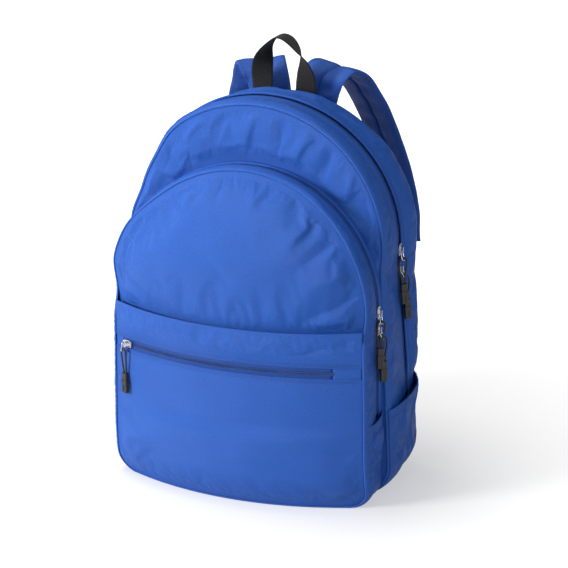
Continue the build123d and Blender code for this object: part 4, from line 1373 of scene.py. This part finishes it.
# ------------------------------------------------------------------ pulls
# Each cord loop's length, and its route from one leg in the grip through the ring to the other leg.
CORDS = {
    "main_upper": (
        66.4,
        [
            (166.5, 16.98, 247.63), (166.37, 16.48, 254.21), (167.05, 16.73, 262.31),
            (167.45, 19.42, 270.61), (166.62, 20.04, 276.25), (162.74, 19.6, 277.62),
            (159.33, 18.28, 275.71), (160.05, 15.14, 269.85), (160.85, 12.54, 261.62),
            (163.04, 14.17, 253.84), (163.9, 14.82, 247.3),
        ],
    ),
    "main_lower": (
        64.38,
        [
            (166.35, 30.39, 225.21), (166.22, 29.89, 231.79), (166.9, 30.13, 239.89),
            (167.29, 29.48, 247.9), (166.47, 26.96, 253.26), (162.59, 25.46, 254.53),
            (159.18, 25.2, 252.72), (159.9, 25.2, 247.13), (160.7, 25.94, 239.2),
            (162.88, 27.58, 231.41), (163.75, 28.22, 224.88),
        ],
    ),
    "pocket_upper": (
        66.98,
        [
            (163.81, -52.11, 192.53), (163.92, -52.03, 199.13), (164.88, -51.08, 207.15),
            (165.55, -47.11, 215.16), (164.92, -45.76, 220.75), (161.09, -46.09, 222.29),
            (157.62, -47.56, 220.63), (158.15, -51.45, 215.03), (158.67, -55.32, 207.04),
            (160.57, -54.37, 199.07), (161.21, -54.29, 192.48),
        ],
    ),
    "pocket_lower": (
        64.38,
        [
            (163.77, -39.91, 172.75), (163.87, -39.83, 179.35), (164.83, -38.88, 187.37),
            (165.51, -38.83, 195.38), (164.87, -40.88, 200.97), (161.05, -42.26, 202.5),
            (157.58, -42.68, 200.84), (158.1, -43.17, 195.25), (158.62, -43.12, 187.26),
            (160.53, -42.17, 179.29), (161.16, -42.09, 172.7),
        ],
    ),
    "front": (
        64.72,
        [
            (-135.2, -95.41, 134.4), (-134.74, -96.14, 141.0), (-134.39, -97.15, 150.0),
            (-134.25, -97.85, 158.4), (-134.6, -97.92, 163.4), (-137.57, -96.71, 165.1),
            (-140.53, -95.5, 163.4), (-140.73, -95.21, 158.4), (-140.13, -94.8, 150.0),
            (-139.18, -94.33, 141.0), (-138.35, -94.13, 134.4),
        ],
    ),
}


def pull_cord(word, route):
    """A black cord loop on one smooth line."""
    data = bpy.data.curves.new(word + "_cord_loop", "CURVE")
    data.dimensions = "3D"
    data.bevel_depth = 1.1 * MM
    data.bevel_resolution = 4
    data.resolution_u = 10
    data.use_fill_caps = True
    spline = data.splines.new("NURBS")
    spline.points.add(len(route) - 1)
    for point, (x, y, z) in zip(spline.points, route):
        point.co = (x * MM, y * MM, z * MM, 1)
    spline.use_endpoint_u = True
    spline.order_u = 3
    data.materials.append(cord_cloth)
    obj = bpy.data.objects.new(word + "_cord_loop", data)
    bpy.context.collection.objects.link(obj)
    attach(obj, word + "_pull")
    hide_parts(word + "_pull_cord")


for word, (cord_length, cord_route) in CORDS.items():
    pull_cord(word, cord_route)


# ------------------------------------------------------------------ metal and plastic CAD nodes
def finish_node(node, material, bevel=0.0, segments=2):
    """Gives a CAD node its material and softened edges."""
    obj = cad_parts[node]
    obj.data.materials.clear()
    obj.data.materials.append(material)
    if bevel:
        mod = obj.modifiers.new("worn edges", "BEVEL")
        mod.width = bevel * MM
        mod.segments = segments
        mod.limit_method = "ANGLE"
        mod.angle_limit = radians(40)


for word in CORDS:
    finish_node(word + "_slider", nickel, 0.22)
    finish_node(word + "_pull_ring", bright)
    finish_node(word + "_pull_grip", black_grip, 0.35)
for word in ("left", "right"):
    finish_node(word + "_ladder_lock", acetal, 0.4, 3)

# ------------------------------------------------------------------ topstitching
POCKETS_TOP = 112.0  # below this the side pockets cover the bands' seams
ARCH_TOP = HALF // 2


def band_stitches(grid, *rows):
    """Stitches along rows of a band, above the side pockets."""
    normals = grid_normals(grid, True)
    outward = grid[ARCH_TOP, 3] - [0, grid[ARCH_TOP, 3][1], 230]
    normals = normals * np.sign(np.sum(normals[ARCH_TOP, 3] * outward))
    for row in rows:
        keep = grid[:, row, 2] > POCKETS_TOP
        stitch("bag", grid[keep, row], normals[keep, row])


band_stitches(front_band, -5)
band_stitches(rear_band, 5)
band_stitches(pocket_band, 3, 5)
band_stitches(pocket_strip, 3)

for panel, rows in ((slip_lower, (-4, -6)), (slip_upper, (3, 5))):
    up = grid_normals(panel)
    up = up * np.sign(-np.mean(up[..., 1]))
    for row in rows:
        stitch("bag", panel[row, 2:-2], up[row, 2:-2])

sew(thread, left_strap="left_strap", right_strap="right_strap")
